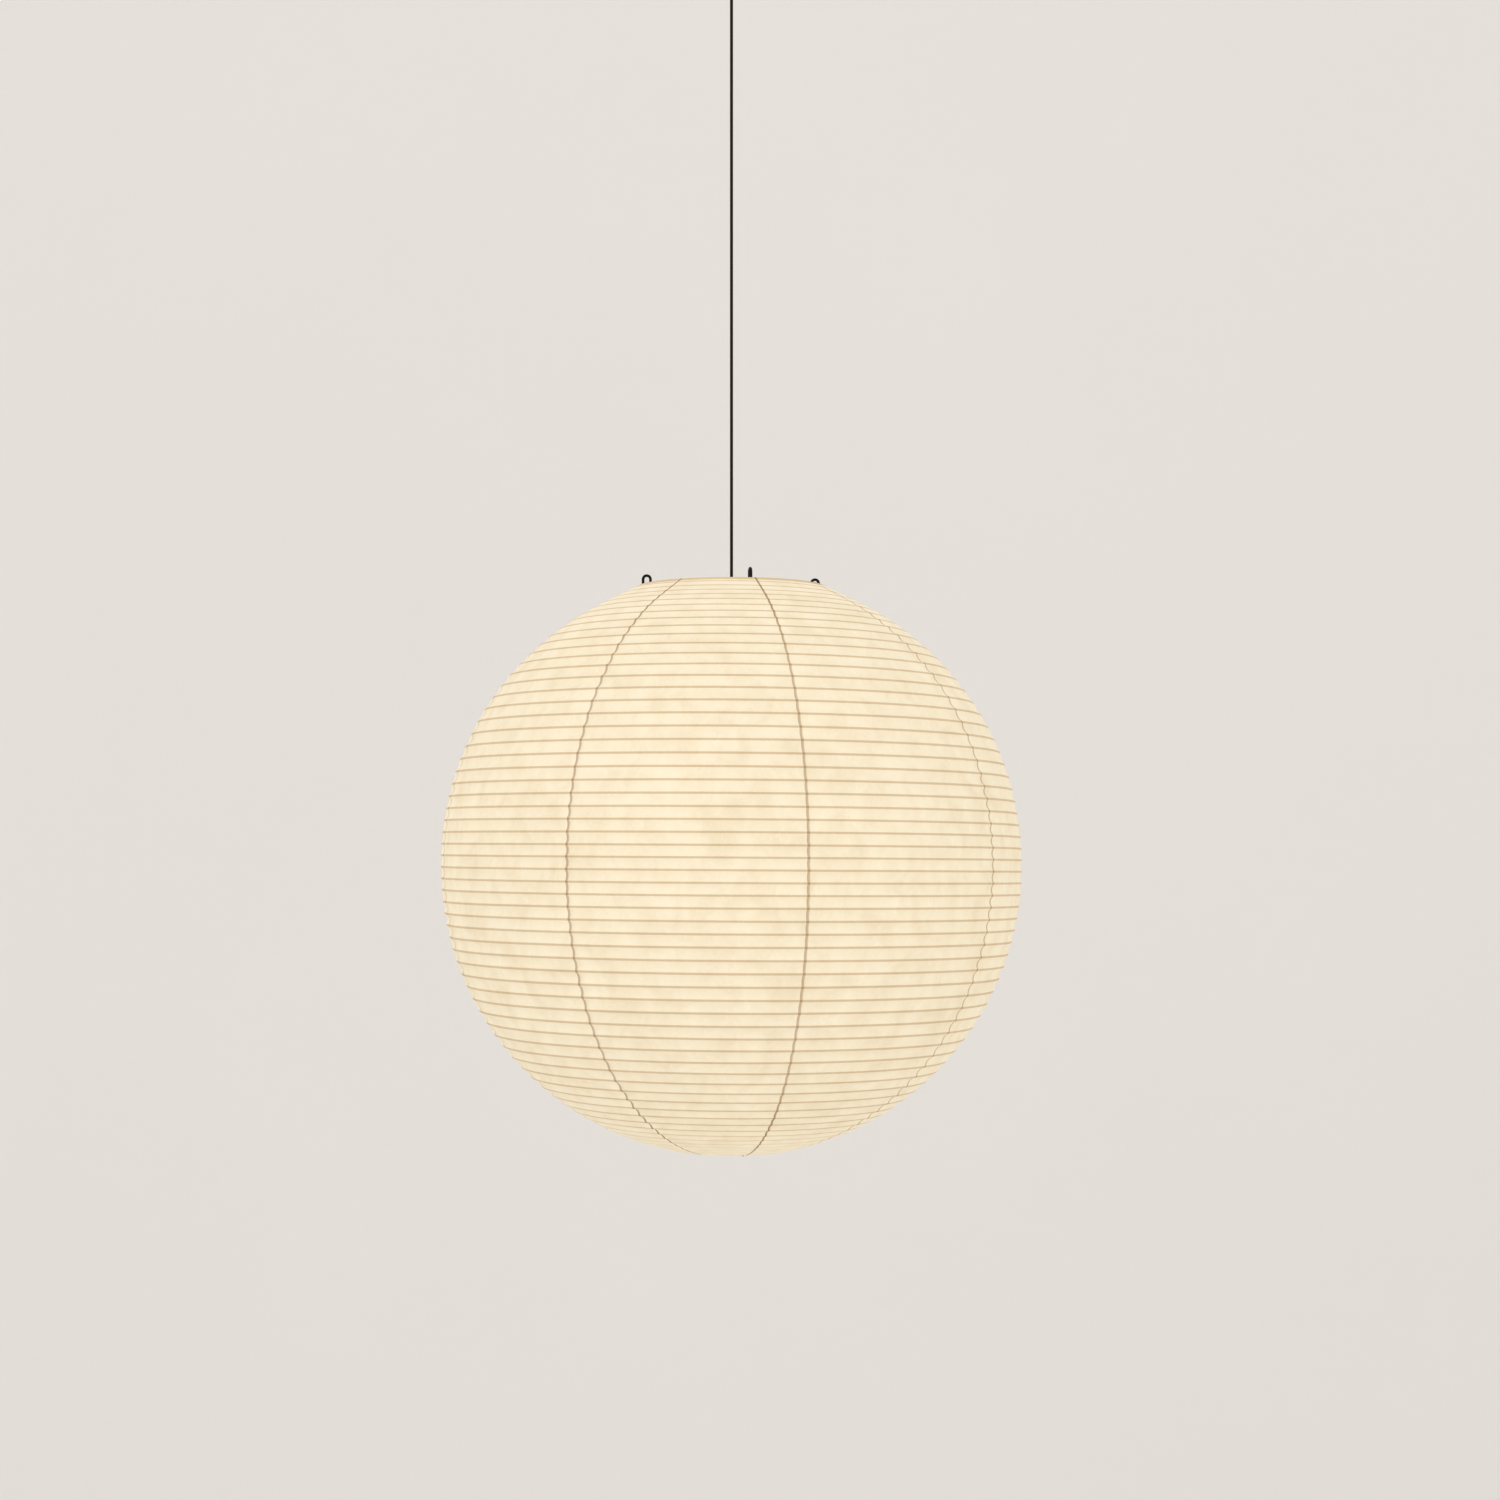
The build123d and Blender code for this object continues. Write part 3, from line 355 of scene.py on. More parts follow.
def gore_grid(outline, index):
    """One gore as a closed thin sheet, its outer face left to right and its inner face back.

    A row's turn is count + front turn - bearing / 2 pi + stray, so that rows follow the rib, and the
    rows go over to level lines in the last turns at each opening. Between two turns the paper is sunk
    by draw_in * pull * (4 f (1 - f)) ^ 0.8, where f is the share of the way from one turn's edge to
    the next turn's, and pull is 0.8 with slow waves of 0.35 on it and 0.3 more beside a seam.

    Of the two UV maps, "lay" is the share across the gore and the turn number, and "rest" is the radius
    and the height of the unfolded shade, as shares of the ball's radius and the paper's height.
    """
    shade = outline.shade
    step = 2 * np.pi / shade.gores
    left = math.radians(shade.first_seam) + index * step
    tab = shade.tab / shade.radius
    share = np.concatenate([np.linspace(0.0, step, GORE_COLUMNS), [step + tab * 0.25, step + tab]])
    bearing = left + share
    middle = left + step / 2
    count_shift = outline.front_turn - middle / (2 * np.pi)
    first = math.floor(shade.turns_above - count_shift) + 1
    last = math.ceil(-shade.turns_below - count_shift) - 1
    counts = np.concatenate([n - np.array(ROW_STEPS) for n in range(first, last - 1, -1)])
    level = counts + count_shift
    inside = (level < shade.turns_above - EDGE_ROW_GAP) & (level > -shade.turns_below + EDGE_ROW_GAP)
    counts = counts[inside]
    level = level[inside]
    blend = outline.off_edges(level, LEVEL_TURNS)
    on_rib = outline.at_rib(bearing[None, :], counts[:, None])
    turn = level[:, None] + blend[:, None] * (on_rib - level[:, None])
    top = np.full((1, len(bearing)), shade.turns_above)
    bottom = np.full((1, len(bearing)), -shade.turns_below)
    turn = np.concatenate([top, turn, bottom])
    phase = turn - outline.front_turn + bearing[None, :] / (2 * np.pi)
    phase = phase - outline.stray(bearing[None, :], turn)
    part = phase - np.floor(phase)
    between = np.clip((part - ON_RIB) / (1 - 2 * ON_RIB), 0.0, 1.0)
    waves = np.sin(5.0 * bearing[None, :] + 0.9 * turn) * np.sin(0.37 * turn + 2.0 * bearing[None, :])
    beside = np.minimum(np.abs(share), np.abs(step - share))[None, :]
    pull = 0.8 + 0.35 * waves + 0.30 * (1.0 - smooth(0.0, BESIDE_SEAM, beside))
    taut = outline.off_edges(turn, TAUT_TURNS)
    sunk = shade.draw_in * pull * taut * (4 * between * (1 - between)) ** DRAWN_POWER
    under = np.where(share > step + 1e-9, shade.tab_gap, 0.0)[None, :]
    outer_r, outer_z = outline.point(turn, sunk + under)
    inner_r, inner_z = outline.point(turn, sunk + under + shade.paper)
    middle_r, middle_z = (outer_r + inner_r) / 2, (outer_z + inner_z) / 2
    radius = np.concatenate([outer_r, inner_r[:, ::-1]], axis=1)
    height = np.concatenate([outer_z, inner_z[:, ::-1]], axis=1)
    mid_r = np.concatenate([middle_r, middle_r[:, ::-1]], axis=1)
    mid_z = np.concatenate([middle_z, middle_z[:, ::-1]], axis=1)
    radius = np.concatenate([mid_r[:1], radius, mid_r[-1:]])
    height = np.concatenate([mid_z[:1], height, mid_z[-1:]])
    wide = np.concatenate([bearing, bearing[::-1]])
    grid = around(np.broadcast_to(wide, radius.shape), radius, height)
    full = np.concatenate([phase, phase[:, ::-1]], axis=1)
    full = np.concatenate([full[:1], full, full[-1:]])
    across = np.concatenate([share, share[::-1]]) / (step + tab)
    lay = np.stack([np.broadcast_to(across, full.shape), full / LAY_TURNS + 0.5], axis=-1)
    rest = np.stack([radius / shade.radius, (height - MOUTH_Z) / (RIM_Z - MOUTH_Z)], axis=-1)
    return grid, {"lay": lay, "rest": rest}


# ---------------------------------------------------------------- shader maths
class Channel:
    """A socket of a finish's node tree, so that node maths reads as plain arithmetic."""

    def __init__(self, finish, socket):
        self.finish = finish
        self.socket = socket

    def maths(self, operation, first, second=0.0):
        """One Math node."""
        return self.finish.node("ShaderNodeMath", {"operation": operation}, {0: first, 1: second})

    def __add__(self, other):
        return self.maths("ADD", self, other)

    def __radd__(self, other):
        return self.maths("ADD", other, self)

    def __sub__(self, other):
        return self.maths("SUBTRACT", self, other)

    def __rsub__(self, other):
        return self.maths("SUBTRACT", other, self)

    def __mul__(self, other):
        return self.maths("MULTIPLY", self, other)

    def __rmul__(self, other):
        return self.maths("MULTIPLY", other, self)

    def __truediv__(self, other):
        return self.maths("DIVIDE", self, other)

    def __rtruediv__(self, other):
        return self.maths("DIVIDE", other, self)

    def __mod__(self, other):
        return self.maths("FLOORED_MODULO", self, other)

    def __abs__(self):
        return self.maths("ABSOLUTE", self)


class Finish:
    """One material's node tree."""

    def __init__(self, name, **constants):
        self.material = bpy.data.materials.new(name)
        self.material.use_nodes = True
        self.tree = self.material.node_tree
        self.tree.nodes.clear()
        output = self.tree.nodes.new("ShaderNodeOutputMaterial")
        self.shader = self.tree.nodes.new("ShaderNodeBsdfPrincipled")
        self.tree.links.new(self.shader.outputs["BSDF"], output.inputs["Surface"])
        for key, value in constants.items():
            self.shader.inputs[key.replace("_", " ")].default_value = value
        self.place = self.node("ShaderNodeTexCoord", out="Object")

    def node(self, kind, settings=None, sockets=None, out=0):
        """Any node, from its type, its settings and the values or links of its sockets."""
        made = self.tree.nodes.new(kind)
        for key, value in (settings or {}).items():
            setattr(made, key, value)
        for key, value in (sockets or {}).items():
            self.join(made.inputs[key], value)
        return Channel(self, made.outputs[out])

    def join(self, target, value):
        """Link a channel to a socket, or set the socket's own value."""
        if isinstance(value, Channel):
            self.tree.links.new(value.socket, target)
        elif hasattr(value, "__len__") and len(value) == 3 and len(target.default_value) == 4:
            target.default_value = (*value, 1.0)
        else:
            target.default_value = value

    def noise(self, scale, detail=2.0, roughness=0.5, distortion=0.0, place=None):
        """Smooth noise from 0 to 1."""
        sockets = {
            "Vector": place or self.place,
            "Scale": scale,
            "Detail": detail,
            "Roughness": roughness,
            "Distortion": distortion,
        }
        return self.node("ShaderNodeTexNoise", None, sockets)

    def stretched(self, scale, place=None):
        """A place, or the object's own, with each axis scaled."""
        return self.node("ShaderNodeMapping", None, {"Vector": place or self.place, "Scale": scale})

    def uv(self, name):
        """One of the piece's own UV maps."""
        return self.node("ShaderNodeUVMap", {"uv_map": name}, out="UV")

    def axis(self, place, number):
        """One axis of a place."""
        return self.node("ShaderNodeSeparateXYZ", None, {0: place}, out=number)

    def step(self, value, low, high):
        """0 under low, 1 over high, and a smooth step between them."""
        settings = {"interpolation_type": "SMOOTHSTEP", "clamp": True}
        sockets = {"Value": value, "From Min": low, "From Max": high}
        return self.node("ShaderNodeMapRange", settings, sockets)

    def mix(self, first, second, share):
        """A colour mixed from two."""
        return self.node("ShaderNodeMix", {"data_type": "RGBA"}, {0: share, 6: first, 7: second}, out=2)

    def through(self, colour_in, filter_colour, share):
        """A colour multiplied by a filter's colour where the share is 1."""
        settings = {"data_type": "RGBA", "blend_type": "MULTIPLY"}
        return self.node("ShaderNodeMix", settings, {0: share, 6: colour_in, 7: filter_colour}, out=2)

    def set(self, **channels):
        """Feed the shader's sockets."""
        for key, value in channels.items():
            self.join(self.shader.inputs[key.replace("_", " ")], value)

    def bump(self, height, strength, distance):
        """A relief of the given height, in metres."""
        sockets = {"Strength": strength, "Distance": distance, "Height": height}
        self.set(Normal=self.node("ShaderNodeBump", None, sockets))


def dress(piece, finish):
    """Give a piece, or a CAD node's object, one finish."""
    piece.data.materials.clear()
    piece.data.materials.append(finish.material)


def settle(piece, finish, body, node):
    """Dress a piece, and let it ride on a body in place of a CAD node."""
    dress(piece, finish)
    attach(piece, body)
    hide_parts(node)


def fold_up(piece):
    """Give a piece its own copy of its mesh; the share of height it would keep when folded is worked out but not
    used.
    """
    keep = 1 - FOLD_TRAVEL / (RIM_Z - MOUTH_Z)
    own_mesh(piece)


def tinted(base, factor):
    """A colour made lighter or darker."""
    return tuple(min(1.0, channel * factor) for channel in base)


# ---------------------------------------------------------------- finishes
def washi_finish(shade, colours):
    """Paper with the rib showing through, glued seams, fibres and mottling, and a painted glow."""
    f = Finish("washi", Roughness=0.82, IOR=1.42, Emission_Strength=1.0)
    lay = f.uv("lay")
    across = f.axis(lay, 0)
    turn = f.axis(lay, 1) * LAY_TURNS
    from_rib = abs((turn + 0.5) % 1.0 - 0.5) * TURN_PITCH
    rest = f.uv("rest")
    reach = f.axis(rest, 0)
    height = f.axis(rest, 1) * (RIM_Z - MOUTH_Z)
    from_seam = across * gore_width(shade) * reach / (0.5 + 0.5 * reach)
    ragged = f.noise(90.0, 3.0, 0.6) - 0.5
    faint = f.step(height, *FAINT_HEIGHTS) * 0.6
    line = (1.0 - f.step(from_rib + ragged * RAGGED_LINE, *LINE_EDGE)) * (1.0 - faint)
    seam = 1.0 - f.step(from_seam + ragged * RAGGED_LINE, *SEAM_EDGE)
    narrow = seam * f.step(reach, *NARROW_REACH)
    # painted shadow: a thin greyer line along the upper gore's cut edge
    painted_cut_shadow = 1.0 - f.step(from_seam, *CUT_EDGE)
    fibre = abs(f.noise(38.0, 2.0, 0.55, 1.6) - 0.5)
    long_fibre = 1.0 - f.step(fibre, 0.002, 0.012)
    hair = abs(f.noise(95.0, 1.0, 0.5, 2.4) - 0.5)
    fine_fibre = (1.0 - f.step(hair, 0.002, 0.010)) * f.step(f.noise(26.0, 2.0, 0.5), 0.42, 0.60)
    flecks = f.step(f.noise(220.0, 2.0, 0.5), 0.66, 0.74)
    cloud = f.noise(9.0, 4.0, 0.6)
    grain = f.noise(420.0, 3.0, 0.6)
    patch = f.noise(34.0, 3.0, 0.55, 0.4, f.stretched((1.0, 1.0, 0.75)))
    wisp = f.step(f.noise(75.0, 3.0, 0.6, 0.8, f.stretched((1.0, 1.0, 0.7))), 0.56, 0.72)
    below_rim = RIM_Z - MOUTH_Z - height
    rim = 1.0 - f.step(below_rim + ragged * RAGGED_RIM, *RIM_EDGE)
    shown = []
    # the same marks on the paper's own colour and on its painted glow, the emission that stands in for the light
    # that comes through it
    for light in (colours.paper, colours.glow):
        look = f.mix(tinted(light, 1.02), tinted(light, 0.96), cloud)
        look = f.through(look, (0.950, 0.930, 0.890), f.step(patch, 0.45, 0.75))
        look = f.through(look, (1.03, 1.045, 1.065), f.step(patch, 0.55, 0.25))
        look = f.through(look, (1.03, 1.05, 1.08), wisp * 0.7)
        look = f.mix(look, tinted(light, 1.08), long_fibre * 0.45)
        look = f.through(look, (0.93, 0.89, 0.82), fine_fibre * 0.60)
        look = f.through(look, (0.92, 0.86, 0.76), flecks * 0.30)
        look = f.through(look, colours.line, line)
        look = f.through(look, colours.seam, seam)
        look = f.through(look, (0.66, 0.58, 0.48), narrow)
        look = f.through(look, (0.88, 0.86, 0.84), painted_cut_shadow)
        look = f.through(look, (0.77, 0.66, 0.50), rim)
        shown.append(look)
    # painted light: the second look goes out as the paper's emission
    f.set(Base_Color=shown[0], Emission_Color=shown[1], Roughness=0.78 + grain * 0.12)
    f.bump(long_fibre * 0.5 + fine_fibre * 0.4 + grain * 0.5 + seam * 0.6, 0.35, 0.0002)
    return f


def wrap_finish(colours):
    """Paper strip wrapped round a hoop, stained by its glue, with a painted glow."""
    f = Finish("wrapped_paper", Roughness=0.75, Emission_Strength=1.0)
    stain = f.noise(70.0, 3.0, 0.6)
    fibre = 1.0 - f.step(abs(f.noise(160.0, 2.0, 0.5, 1.2) - 0.5), 0.004, 0.03)
    base = f.mix(colours.binding, tinted(colours.binding, 0.72), f.step(stain, 0.42, 0.7))
    base = f.mix(base, tinted(colours.binding, 1.15), fibre * 0.4)
    # painted glow: emission of three tenths to a fifth of the binding's colour, less where stained
    glow = f.mix(tinted(colours.binding, 0.30), tinted(colours.binding, 0.20), stain)
    f.set(Base_Color=base, Emission_Color=glow, Roughness=0.66 + stain * 0.16)
    f.bump(fibre + stain, 0.4, 0.0003)
    return f


def bamboo_finish(colours):
    """Split bamboo with grain along the strip and darker nodes."""
    f = Finish("bamboo_strip", Roughness=0.5, Coat_Weight=0.08)
    lay = f.uv("lay")
    grain = f.noise(6.0, 4.0, 0.6, 0.2, f.stretched((26.0, 60.0, 1.0), lay))
    joint = 1.0 - f.step(abs((f.axis(lay, 1) * BAMBOO_JOINTS) % 1.0 - 0.5), 0.01, 0.03)
    base = f.mix(colours.bamboo, tinted(colours.bamboo, 0.66), f.step(grain, 0.35, 0.7))
    base = f.mix(base, tinted(colours.bamboo, 0.45), joint * 0.8)
    f.set(Base_Color=base, Roughness=0.42 + grain * 0.25)
    f.bump(grain + joint, 0.4, 0.0002)
    return f


def sheath_finish(colours):
    """The cord's sheath: drawn plastic, a little dusty."""
    f = Finish("cord_sheath", Roughness=0.5, Specular_IOR_Level=0.08)
    dust = f.noise(45.0, 4.0, 0.65)
    drawn = f.noise(30.0, 2.0, 0.5, 0.0, f.stretched((28.0, 28.0, 0.6)))
    base = f.mix(colours.cord, tinted(colours.cord, 1.9), f.step(dust, 0.48, 0.8) * 0.5)
    f.set(Base_Color=base, Roughness=0.36 + dust * 0.28)
    f.bump(drawn, 0.3, 0.0001)
    return f


def lacquer_finish(colours):
    """Black lacquer on drawn wire: small runs, a few worn specks."""
    f = Finish("black_lacquer", Roughness=0.34, Specular_IOR_Level=0.12)
    run = f.noise(140.0, 3.0, 0.55)
    worn = f.step(f.noise(320.0, 2.0, 0.5), 0.70, 0.76)
    base = f.mix(colours.wire, tinted(colours.wire, 2.2), run * 0.5)
    base = f.mix(base, srgb(92, 80, 68), worn * 0.35)
    f.set(Base_Color=base, Roughness=0.26 + run * 0.24)
    f.bump(run, 0.25, 0.0002)
    return f


def moulded_finish(name, base_colour, rough, relief=0.12, speck=0.06):
    """Moulded plastic or fired ceramic: fine grain, faint flow marks and dust."""
    f = Finish(name, Roughness=rough)
    grain = f.noise(900.0, 2.0, 0.5)
    flow = f.noise(60.0, 3.0, 0.6, 0.6)
    specks = f.step(f.noise(500.0, 1.0, 0.5), 0.7, 0.78)
    base = f.mix(base_colour, tinted(base_colour, 0.86), flow * 0.6)
    base = f.mix(base, tinted(base_colour, 1.6), specks * speck)
    f.set(Base_Color=base, Roughness=rough - 0.08 + grain * 0.12 + flow * 0.06)
    f.bump(grain + flow * 0.4, relief, 0.00015)
    return f


def metal_finish(name, base_colour, rough, stretch=(1.0, 1.0, 14.0)):
    """Turned, plated or drawn metal: fine lines, dull patches and small nicks."""
    f = Finish(name, Metallic=1.0, Roughness=rough)
    lines = f.noise(120.0, 2.0, 0.5, 0.0, f.stretched(stretch))
    dull = f.noise(55.0, 4.0, 0.6)
    nicks = f.step(f.noise(380.0, 1.0, 0.5), 0.71, 0.75)
    base = f.mix(base_colour, tinted(base_colour, 0.72), f.step(dull, 0.4, 0.75))
    base = f.mix(base, tinted(base_colour, 0.45), nicks * 0.4)
    f.set(Base_Color=base, Roughness=rough - 0.06 + lines * 0.14 + dull * 0.1)
    f.bump(lines + nicks, 0.18, 0.0001)
    return f


def opal_finish():
    """The bulb's opal diffuser, softly lit."""
    f = Finish("opal_diffuser", Roughness=0.38, Emission_Strength=1.0)
    haze = f.noise(24.0, 3.0, 0.5)
    grain = f.noise(700.0, 2.0, 0.5)
    base = f.mix(srgb(246, 243, 234), srgb(232, 228, 216), haze)
    glow = f.mix(srgb(255, 236, 200), srgb(255, 244, 220), haze)
    f.set(Base_Color=base, Emission_Color=glow, Roughness=0.3 + grain * 0.15)
    f.bump(grain, 0.06, 0.0001)
    return f


def chip_finish():
    """The light chips' yellow phosphor."""
    f = Finish("phosphor", Roughness=0.3, Emission_Strength=0.5)
    grain = f.noise(1500.0, 2.0, 0.5)
    glow = f.mix(srgb(250, 214, 120), srgb(255, 232, 160), grain)
    f.set(Base_Color=glow, Emission_Color=glow)
    f.bump(grain, 0.1, 0.0001)
    return f


def painted_finish(name, base_colour):
    """Powder coat: orange-peel relief and rubbed dust."""
    f = Finish(name, Roughness=0.5, Coat_Weight=0.1)
    peel = f.noise(420.0, 2.0, 0.5)
    dust = f.noise(18.0, 4.0, 0.6)
    base = f.mix(base_colour, tinted(base_colour, 2.0), f.step(dust, 0.45, 0.8) * 0.6)
    f.set(Base_Color=base, Roughness=0.42 + peel * 0.14 + dust * 0.08)
    f.bump(peel, 0.3, 0.0002)
    return f


# ---------------------------------------------------------------- operators
class LANTERN_OT_stage(bpy.types.Operator):
    """Set the camera, the wall, the floor and the soft lights."""

    bl_idname = "lantern.stage"
    bl_label = "Stage and camera"

    def execute(self, context):
        scene = context.scene
        shade, stage, wall = scene.lantern_shade, scene.lantern_stage, scene.lantern_colours.wall
        eye = bpy.data.cameras.new("stage_camera")
        eye.sensor_width = SENSOR_WIDTH
        eye.lens = stage.lens
        eye.shift_y = stage.shift
        eye.clip_end = 50.0
        camera = bpy.data.objects.new("stage_camera", eye)
        camera.location = (stage.side, -stage.distance, shade.middle_z + stage.above)
        camera.rotation_euler = (math.pi / 2, 0.0, 0.0)
        scene.collection.objects.link(camera)
        scene.camera = camera

        sweep = self.sweep(stage.wall_behind, shade.middle_z - stage.floor_under)
        plaster = Finish("plaster", Roughness=0.9)
        soft = plaster.noise(1.6, 3.0, 0.5)
        fine = plaster.noise(160.0, 3.0, 0.6)
        plaster.set(Base_Color=plaster.mix(wall, tinted(wall, 0.985), soft))
        plaster.bump(fine, 0.05, 0.0005)
        dress(sweep, plaster)

        world = bpy.data.worlds.new("stage_light")
        scene.world = world
        world.use_nodes = True
        background = world.node_tree.nodes["Background"]
        background.inputs["Color"].default_value = DAY_COLOUR
        background.inputs["Strength"].default_value = stage.daylight
        scene.view_settings.view_transform = "Standard"
        middle = np.array([0.0, 0.0, shade.middle_z])
        self.lamp(scene, "key", middle + KEY_PLACE, middle, stage.key_size, stage.key_power)
        self.lamp(scene, "fill", middle + FILL_PLACE, middle, stage.fill_size, stage.fill_power)
        return {"FINISHED"}

    @staticmethod
    def sweep(wall_y, floor_z):
        """A floor that bends up into the wall: a level line, a quarter circle and an upright line."""
        turn = np.linspace(0.0, np.pi / 2, 13)
        bend_y = wall_y - SWEEP_BEND + SWEEP_BEND * np.sin(turn)
        bend_z = floor_z + SWEEP_BEND - SWEEP_BEND * np.cos(turn)
        line_y = np.concatenate([[-SWEEP_SIDE, -SWEEP_SIDE / 2, 0.0], bend_y, [wall_y, wall_y]])
        wall_z = [floor_z + WALL_HEIGHT / 2, floor_z + WALL_HEIGHT]
        line_z = np.concatenate([[floor_z] * 3, bend_z, wall_z])
        line_x = np.linspace(-SWEEP_SIDE, SWEEP_SIDE, 5)
        place = np.broadcast_arrays(line_x[None, :], line_y[:, None], line_z[:, None])
        return surface("stage_wall_and_floor", np.stack(place, axis=-1))

    @staticmethod
    def lamp(scene, name, place, aim, width, power):
        """A square soft light at a place, turned to its aim, that the camera doesn't see."""
        light = bpy.data.lights.new("stage_" + name, "AREA")
        light.size = width
        light.energy = power
        light.color = LAMP_COLOUR
        lamp = bpy.data.objects.new("stage_" + name, light)
        ahead = aim - place
        turn = math.atan2(ahead[0], -ahead[1])
        tilt = math.atan2(math.hypot(ahead[0], ahead[1]), -ahead[2])
        lamp.visible_camera = False
        lamp.location = place
        lamp.rotation_euler = (tilt, 0.0, turn + math.pi)
        scene.collection.objects.link(lamp)


class LANTERN_OT_cord(bpy.types.Operator):
    """Hang the cord straight from the canopy's grip to the lampholder."""

    bl_idname = "lantern.cord"
    bl_label = "Cord"

    def execute(self, context):
        scene = context.scene
        diameter = scene.lantern_cord.diameter
        line = bpy.data.curves.new("cord_sheath", "CURVE")
        line.dimensions = "3D"
        line.bevel_depth = diameter / 2
        line.bevel_resolution = 6
        line.use_fill_caps = True
        strand = line.splines.new("NURBS")
        heights = (CORD_FOOT, CORD_FOOT + CORD_ENDS, CORD_HALFWAY, CORD_TOP - CORD_ENDS, CORD_TOP)
        strand.points.add(len(heights) - 1)
        for point, height in zip(strand.points, heights):
            point.co = (0.0, 0.0, height, 1.0)
        strand.order_u = 3
        strand.use_endpoint_u = True
        strand.resolution_u = 12
        piece = bpy.data.objects.new("cord_sheath", line)
        scene.collection.objects.link(piece)
        sheath = sheath_finish(scene.lantern_colours)
        settle(piece, sheath, "cord", "cord")
        for name in ("cord_bend", "cord_tail"):
            dress(NODES[name], sheath)
        return {"FINISHED"}


class LANTERN_OT_paper(bpy.types.Operator):
    """Stretch the eight paper gores over the rib."""

    bl_idname = "lantern.paper"
    bl_label = "Paper gores"

    def execute(self, context):
        shade = context.scene.lantern_shade
        outline = Outline(shade)
        washi = washi_finish(shade, context.scene.lantern_colours)
        for index, node in enumerate(GORE_NODES):
            grid, maps = gore_grid(outline, index)
            piece = surface(f"washi_gore_{index + 1}", grid, wrap_cols=True, maps=maps)
            settle(piece, washi, "lantern", node)
            fold_up(piece)
        return {"FINISHED"}


class LANTERN_OT_rib(bpy.types.Operator):
    """Wind the bamboo rib down the inside of the paper."""

    bl_idname = "lantern.rib"
    bl_label = "Bamboo rib"

    def execute(self, context):
        shade = context.scene.lantern_shade
        outline = Outline(shade)
        count = math.floor(shade.turns_above)
        start = (count + outline.front_turn - (shade.turns_above - RIB_TUCK)) * 2 * math.pi
        total = (shade.turns_above + shade.turns_below - 2 * RIB_TUCK) * 2 * math.pi
        bearing = np.linspace(start, start + total, int(total / (2 * math.pi) * RIB_POINTS))
        turn = outline.at_rib(bearing, count)
        back = shade.tab_gap + 2 * shade.paper + GLUE + shade.rib_depth / 2
        radius, height = outline.point(turn, back)
        path = around(bearing, radius, height)
        ahead = np.gradient(path, axis=0)
        ahead /= np.linalg.norm(ahead, axis=1, keepdims=True)
        near_r, near_z = outline.point(turn, back + 0.001)
        up = path - around(bearing, near_r, near_z)
        up -= np.sum(up * ahead, axis=1, keepdims=True) * ahead
        up /= np.linalg.norm(up, axis=1, keepdims=True)
        across = np.cross(ahead, up)
        wide, deep = shade.rib_width / 2, shade.rib_depth / 2
        less_wide, less_deep = wide * (1 - RIB_ROUND / 2), deep * (1 - RIB_ROUND)
        right = [(wide, -less_deep), (wide, less_deep), (less_wide, deep)]
        left = [(-less_wide, deep), (-wide, less_deep), (-wide, -less_deep)]
        profile = np.array(right + left + [(-less_wide, -deep), (less_wide, -deep)])
        along = np.linspace(0.0, 1.0, len(path) + 2)[:, None]
        side = np.linspace(0.0, 1.0, len(profile))[None, :]
        lay = np.stack(np.broadcast_arrays(side, along), axis=-1)
        piece = carried("bamboo_spiral", path, across, up, profile, maps={"lay": lay})
        settle(piece, bamboo_finish(context.scene.lantern_colours), "lantern", "bamboo_rib")
        fold_up(piece)
        return {"FINISHED"}


class LANTERN_OT_bindings(bpy.types.Operator):
    """Wrap the paper strips round the two wire hoops."""

    bl_idname = "lantern.bindings"
    bl_label = "Hoop bindings"

    def execute(self, context):
        wrap = wrap_finish(context.scene.lantern_colours)
        for node, body in (("top_binding", "lantern"), ("bottom_binding", "lower_hoop")):
            low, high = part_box(node)
            thick = (high.z - low.z) / 2
            ring = high.x - thick
            middle = (high.z + low.z) / 2
            piece = self.strip(node + "_strip", ring, middle, thick)
            settle(piece, wrap, body, node)
        return {"FINISHED"}

    @staticmethod
    def strip(name, ring, middle, thick):
        """A wrapped hoop: a torus, thicker where one wrap of the strip lies over the last.

        The wraps lean: with w = (46 bearing + angle) / 2 pi, the strip swells by the sixth power of w's
        part after the point, so an edge stands wherever w is a whole number. Two small waves dent it.
        """
        bearing = np.linspace(0.0, 2 * np.pi, 720, endpoint=False)[:, None]
        angle = np.linspace(0.0, 2 * np.pi, 20, endpoint=False)[None, :]
        wraps = WRAPS * bearing / (2 * np.pi) + angle / (2 * np.pi)
        lap = (wraps - np.floor(wraps)) ** 6
        dent = 0.00006 * np.sin(7 * bearing + 2 * angle) + 0.00005 * np.sin(19 * bearing - angle)
        fat = thick - 0.00022 + 0.00016 * lap + dent
        radius = ring + fat * np.cos(angle)
        height = middle + fat * np.sin(angle)
        grid = around(np.broadcast_to(bearing, radius.shape), radius, height)
        return surface(name, grid, wrap_rows=True, wrap_cols=True)


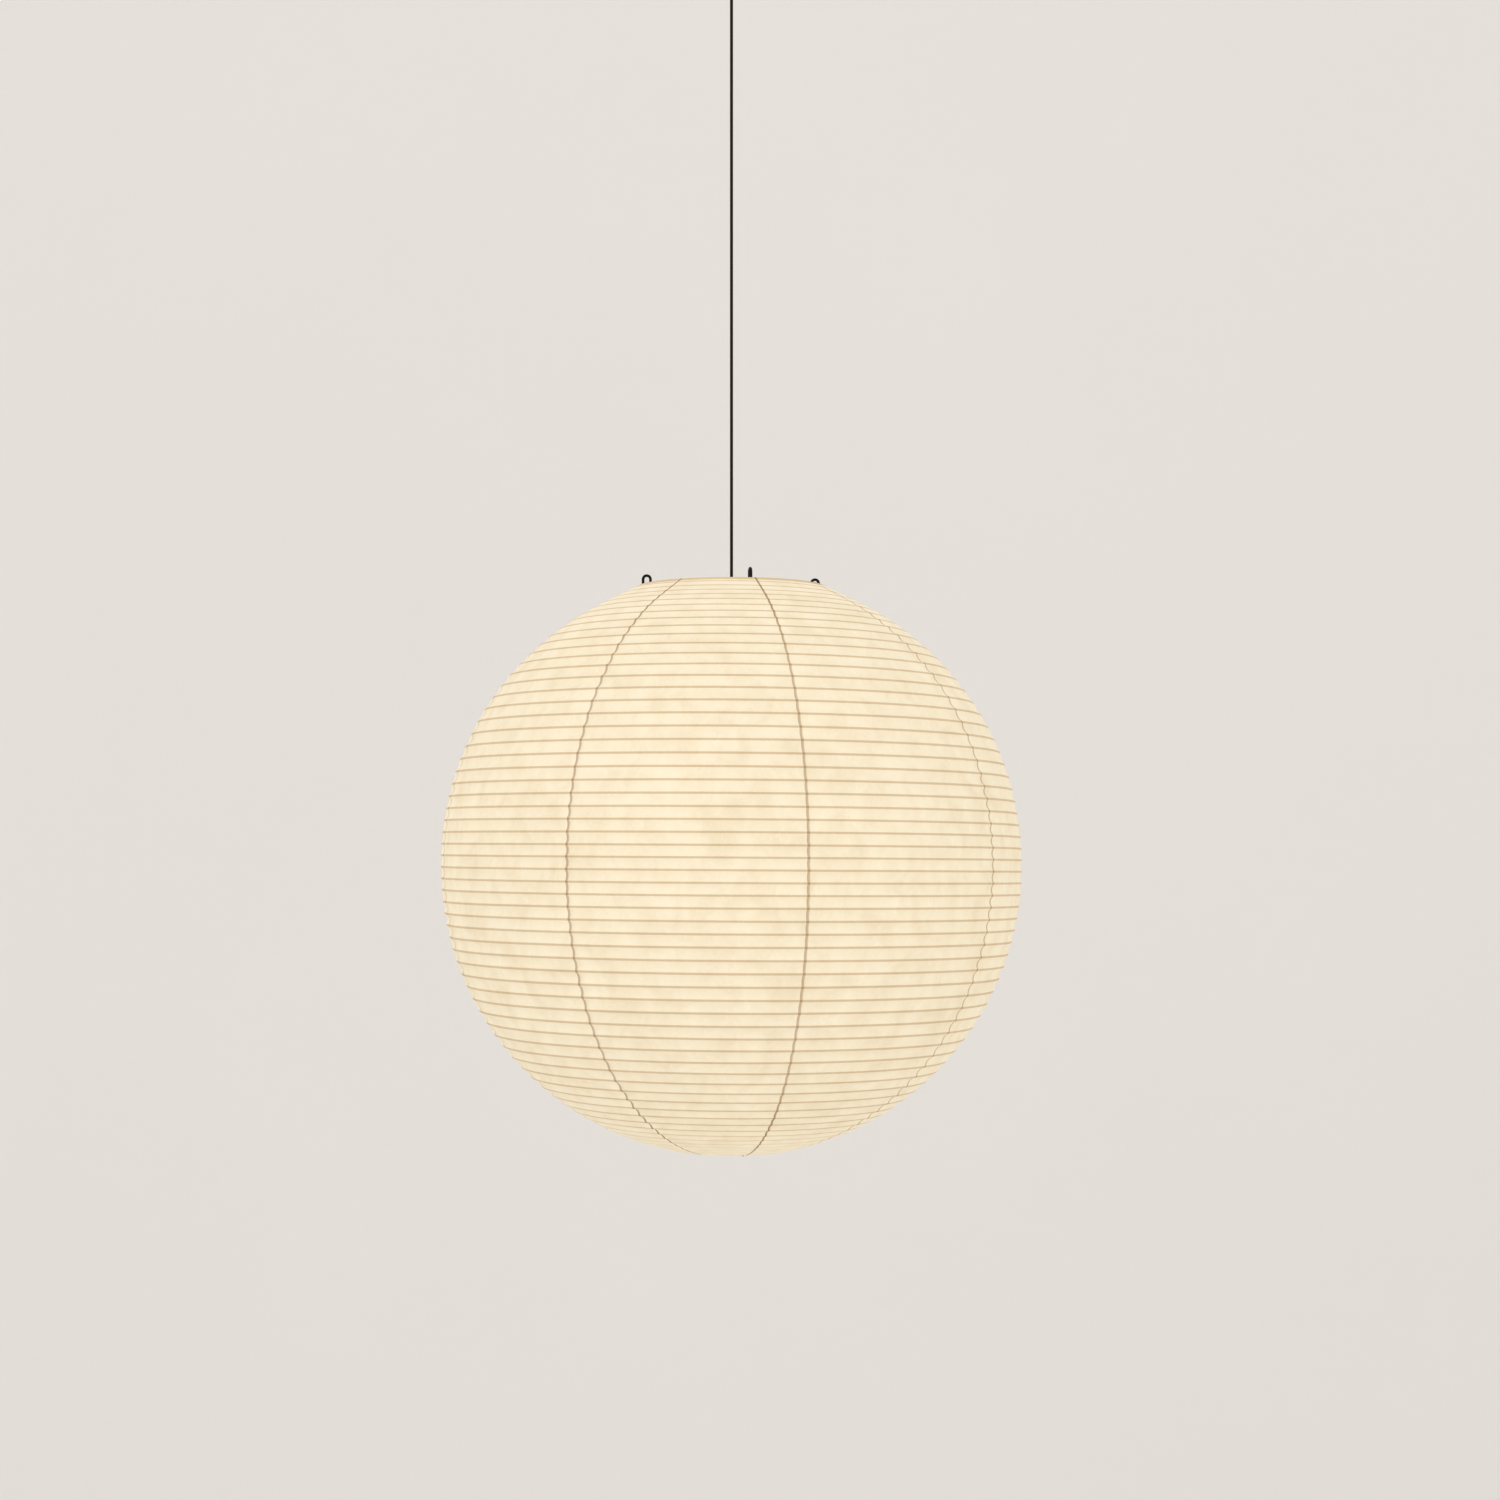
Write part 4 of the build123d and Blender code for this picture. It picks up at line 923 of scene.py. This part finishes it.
class LANTERN_OT_finishes(bpy.types.Operator):
    """Give every carried-over CAD piece its finish."""

    bl_idname = "lantern.finishes"
    bl_label = "Finishes"

    def execute(self, context):
        finishes = {
            "core_insulation": moulded_finish("core_insulation", srgb(74, 92, 150), 0.5),
            "black_wire": lacquer_finish(context.scene.lantern_colours),
            "black_plastic": moulded_finish("black_moulding", srgb(30, 29, 28), 0.46),
            "canopy_black": painted_finish("black_powder_coat", srgb(32, 31, 30)),
            "zinc_steel": metal_finish("zinc_plate", srgb(196, 198, 200), 0.36),
            "white_plastic": moulded_finish("white_moulding", srgb(232, 231, 224), 0.42),
            "white_ceramic": moulded_finish("fired_ceramic", srgb(236, 232, 222), 0.62, 0.2, 0.2),
            "brass": metal_finish("turned_brass", srgb(222, 182, 108), 0.3),
            "bulb_cap_metal": metal_finish("rolled_cap", srgb(206, 207, 208), 0.28),
            "bulb_body_white": moulded_finish("bulb_body", srgb(236, 235, 230), 0.3),
            "bulb_board_white": moulded_finish("solder_mask", srgb(238, 238, 234), 0.35),
            "light_chip": chip_finish(),
            "bulb_opal": opal_finish(),
        }
        for part in frame["record"]["subparts"]:
            finish = finishes.get(part["material_slot"])
            if finish is not None:
                dress(NODES[part["node"]], finish)
        return {"FINISHED"}


class LANTERN_PT_panel(bpy.types.Panel):
    """The lantern's steps and settings in the 3D view's sidebar."""

    bl_idname = "LANTERN_PT_panel"
    bl_label = "Paper Lantern"
    bl_space_type = "VIEW_3D"
    bl_region_type = "UI"
    bl_category = "Lantern"

    def draw(self, context):
        for step in STEPS:
            self.layout.operator(step.bl_idname)
        for name in GROUPS:
            group = getattr(context.scene, name)
            box = self.layout.box()
            for key in group.bl_rna.properties.keys():
                if key not in ("rna_type", "name"):
                    box.prop(group, key)


STEPS = (
    LANTERN_OT_stage,
    LANTERN_OT_cord,
    LANTERN_OT_paper,
    LANTERN_OT_rib,
    LANTERN_OT_bindings,
    LANTERN_OT_finishes,
)
GROUPS = {
    "lantern_shade": LanternShade,
    "lantern_cord": LanternCord,
    "lantern_stage": LanternStage,
    "lantern_colours": LanternColours,
}


def register():
    """Register the settings, the steps and the panel."""
    for name, group in GROUPS.items():
        bpy.utils.register_class(group)
        setattr(bpy.types.Scene, name, bpy.props.PointerProperty(type=group))
    for step in (*STEPS, LANTERN_PT_panel):
        bpy.utils.register_class(step)


def unregister():
    """Take the panel, the steps and the settings away again."""
    for step in (LANTERN_PT_panel, *reversed(STEPS)):
        bpy.utils.unregister_class(step)
    for name, group in GROUPS.items():
        delattr(bpy.types.Scene, name)
        bpy.utils.unregister_class(group)


def main():
    """Run every step in order."""
    register()
    bpy.ops.lantern.stage()
    bpy.ops.lantern.cord()
    bpy.ops.lantern.paper()
    bpy.ops.lantern.rib()
    bpy.ops.lantern.bindings()
    bpy.ops.lantern.finishes()


if __name__ == "__main__":
    main()
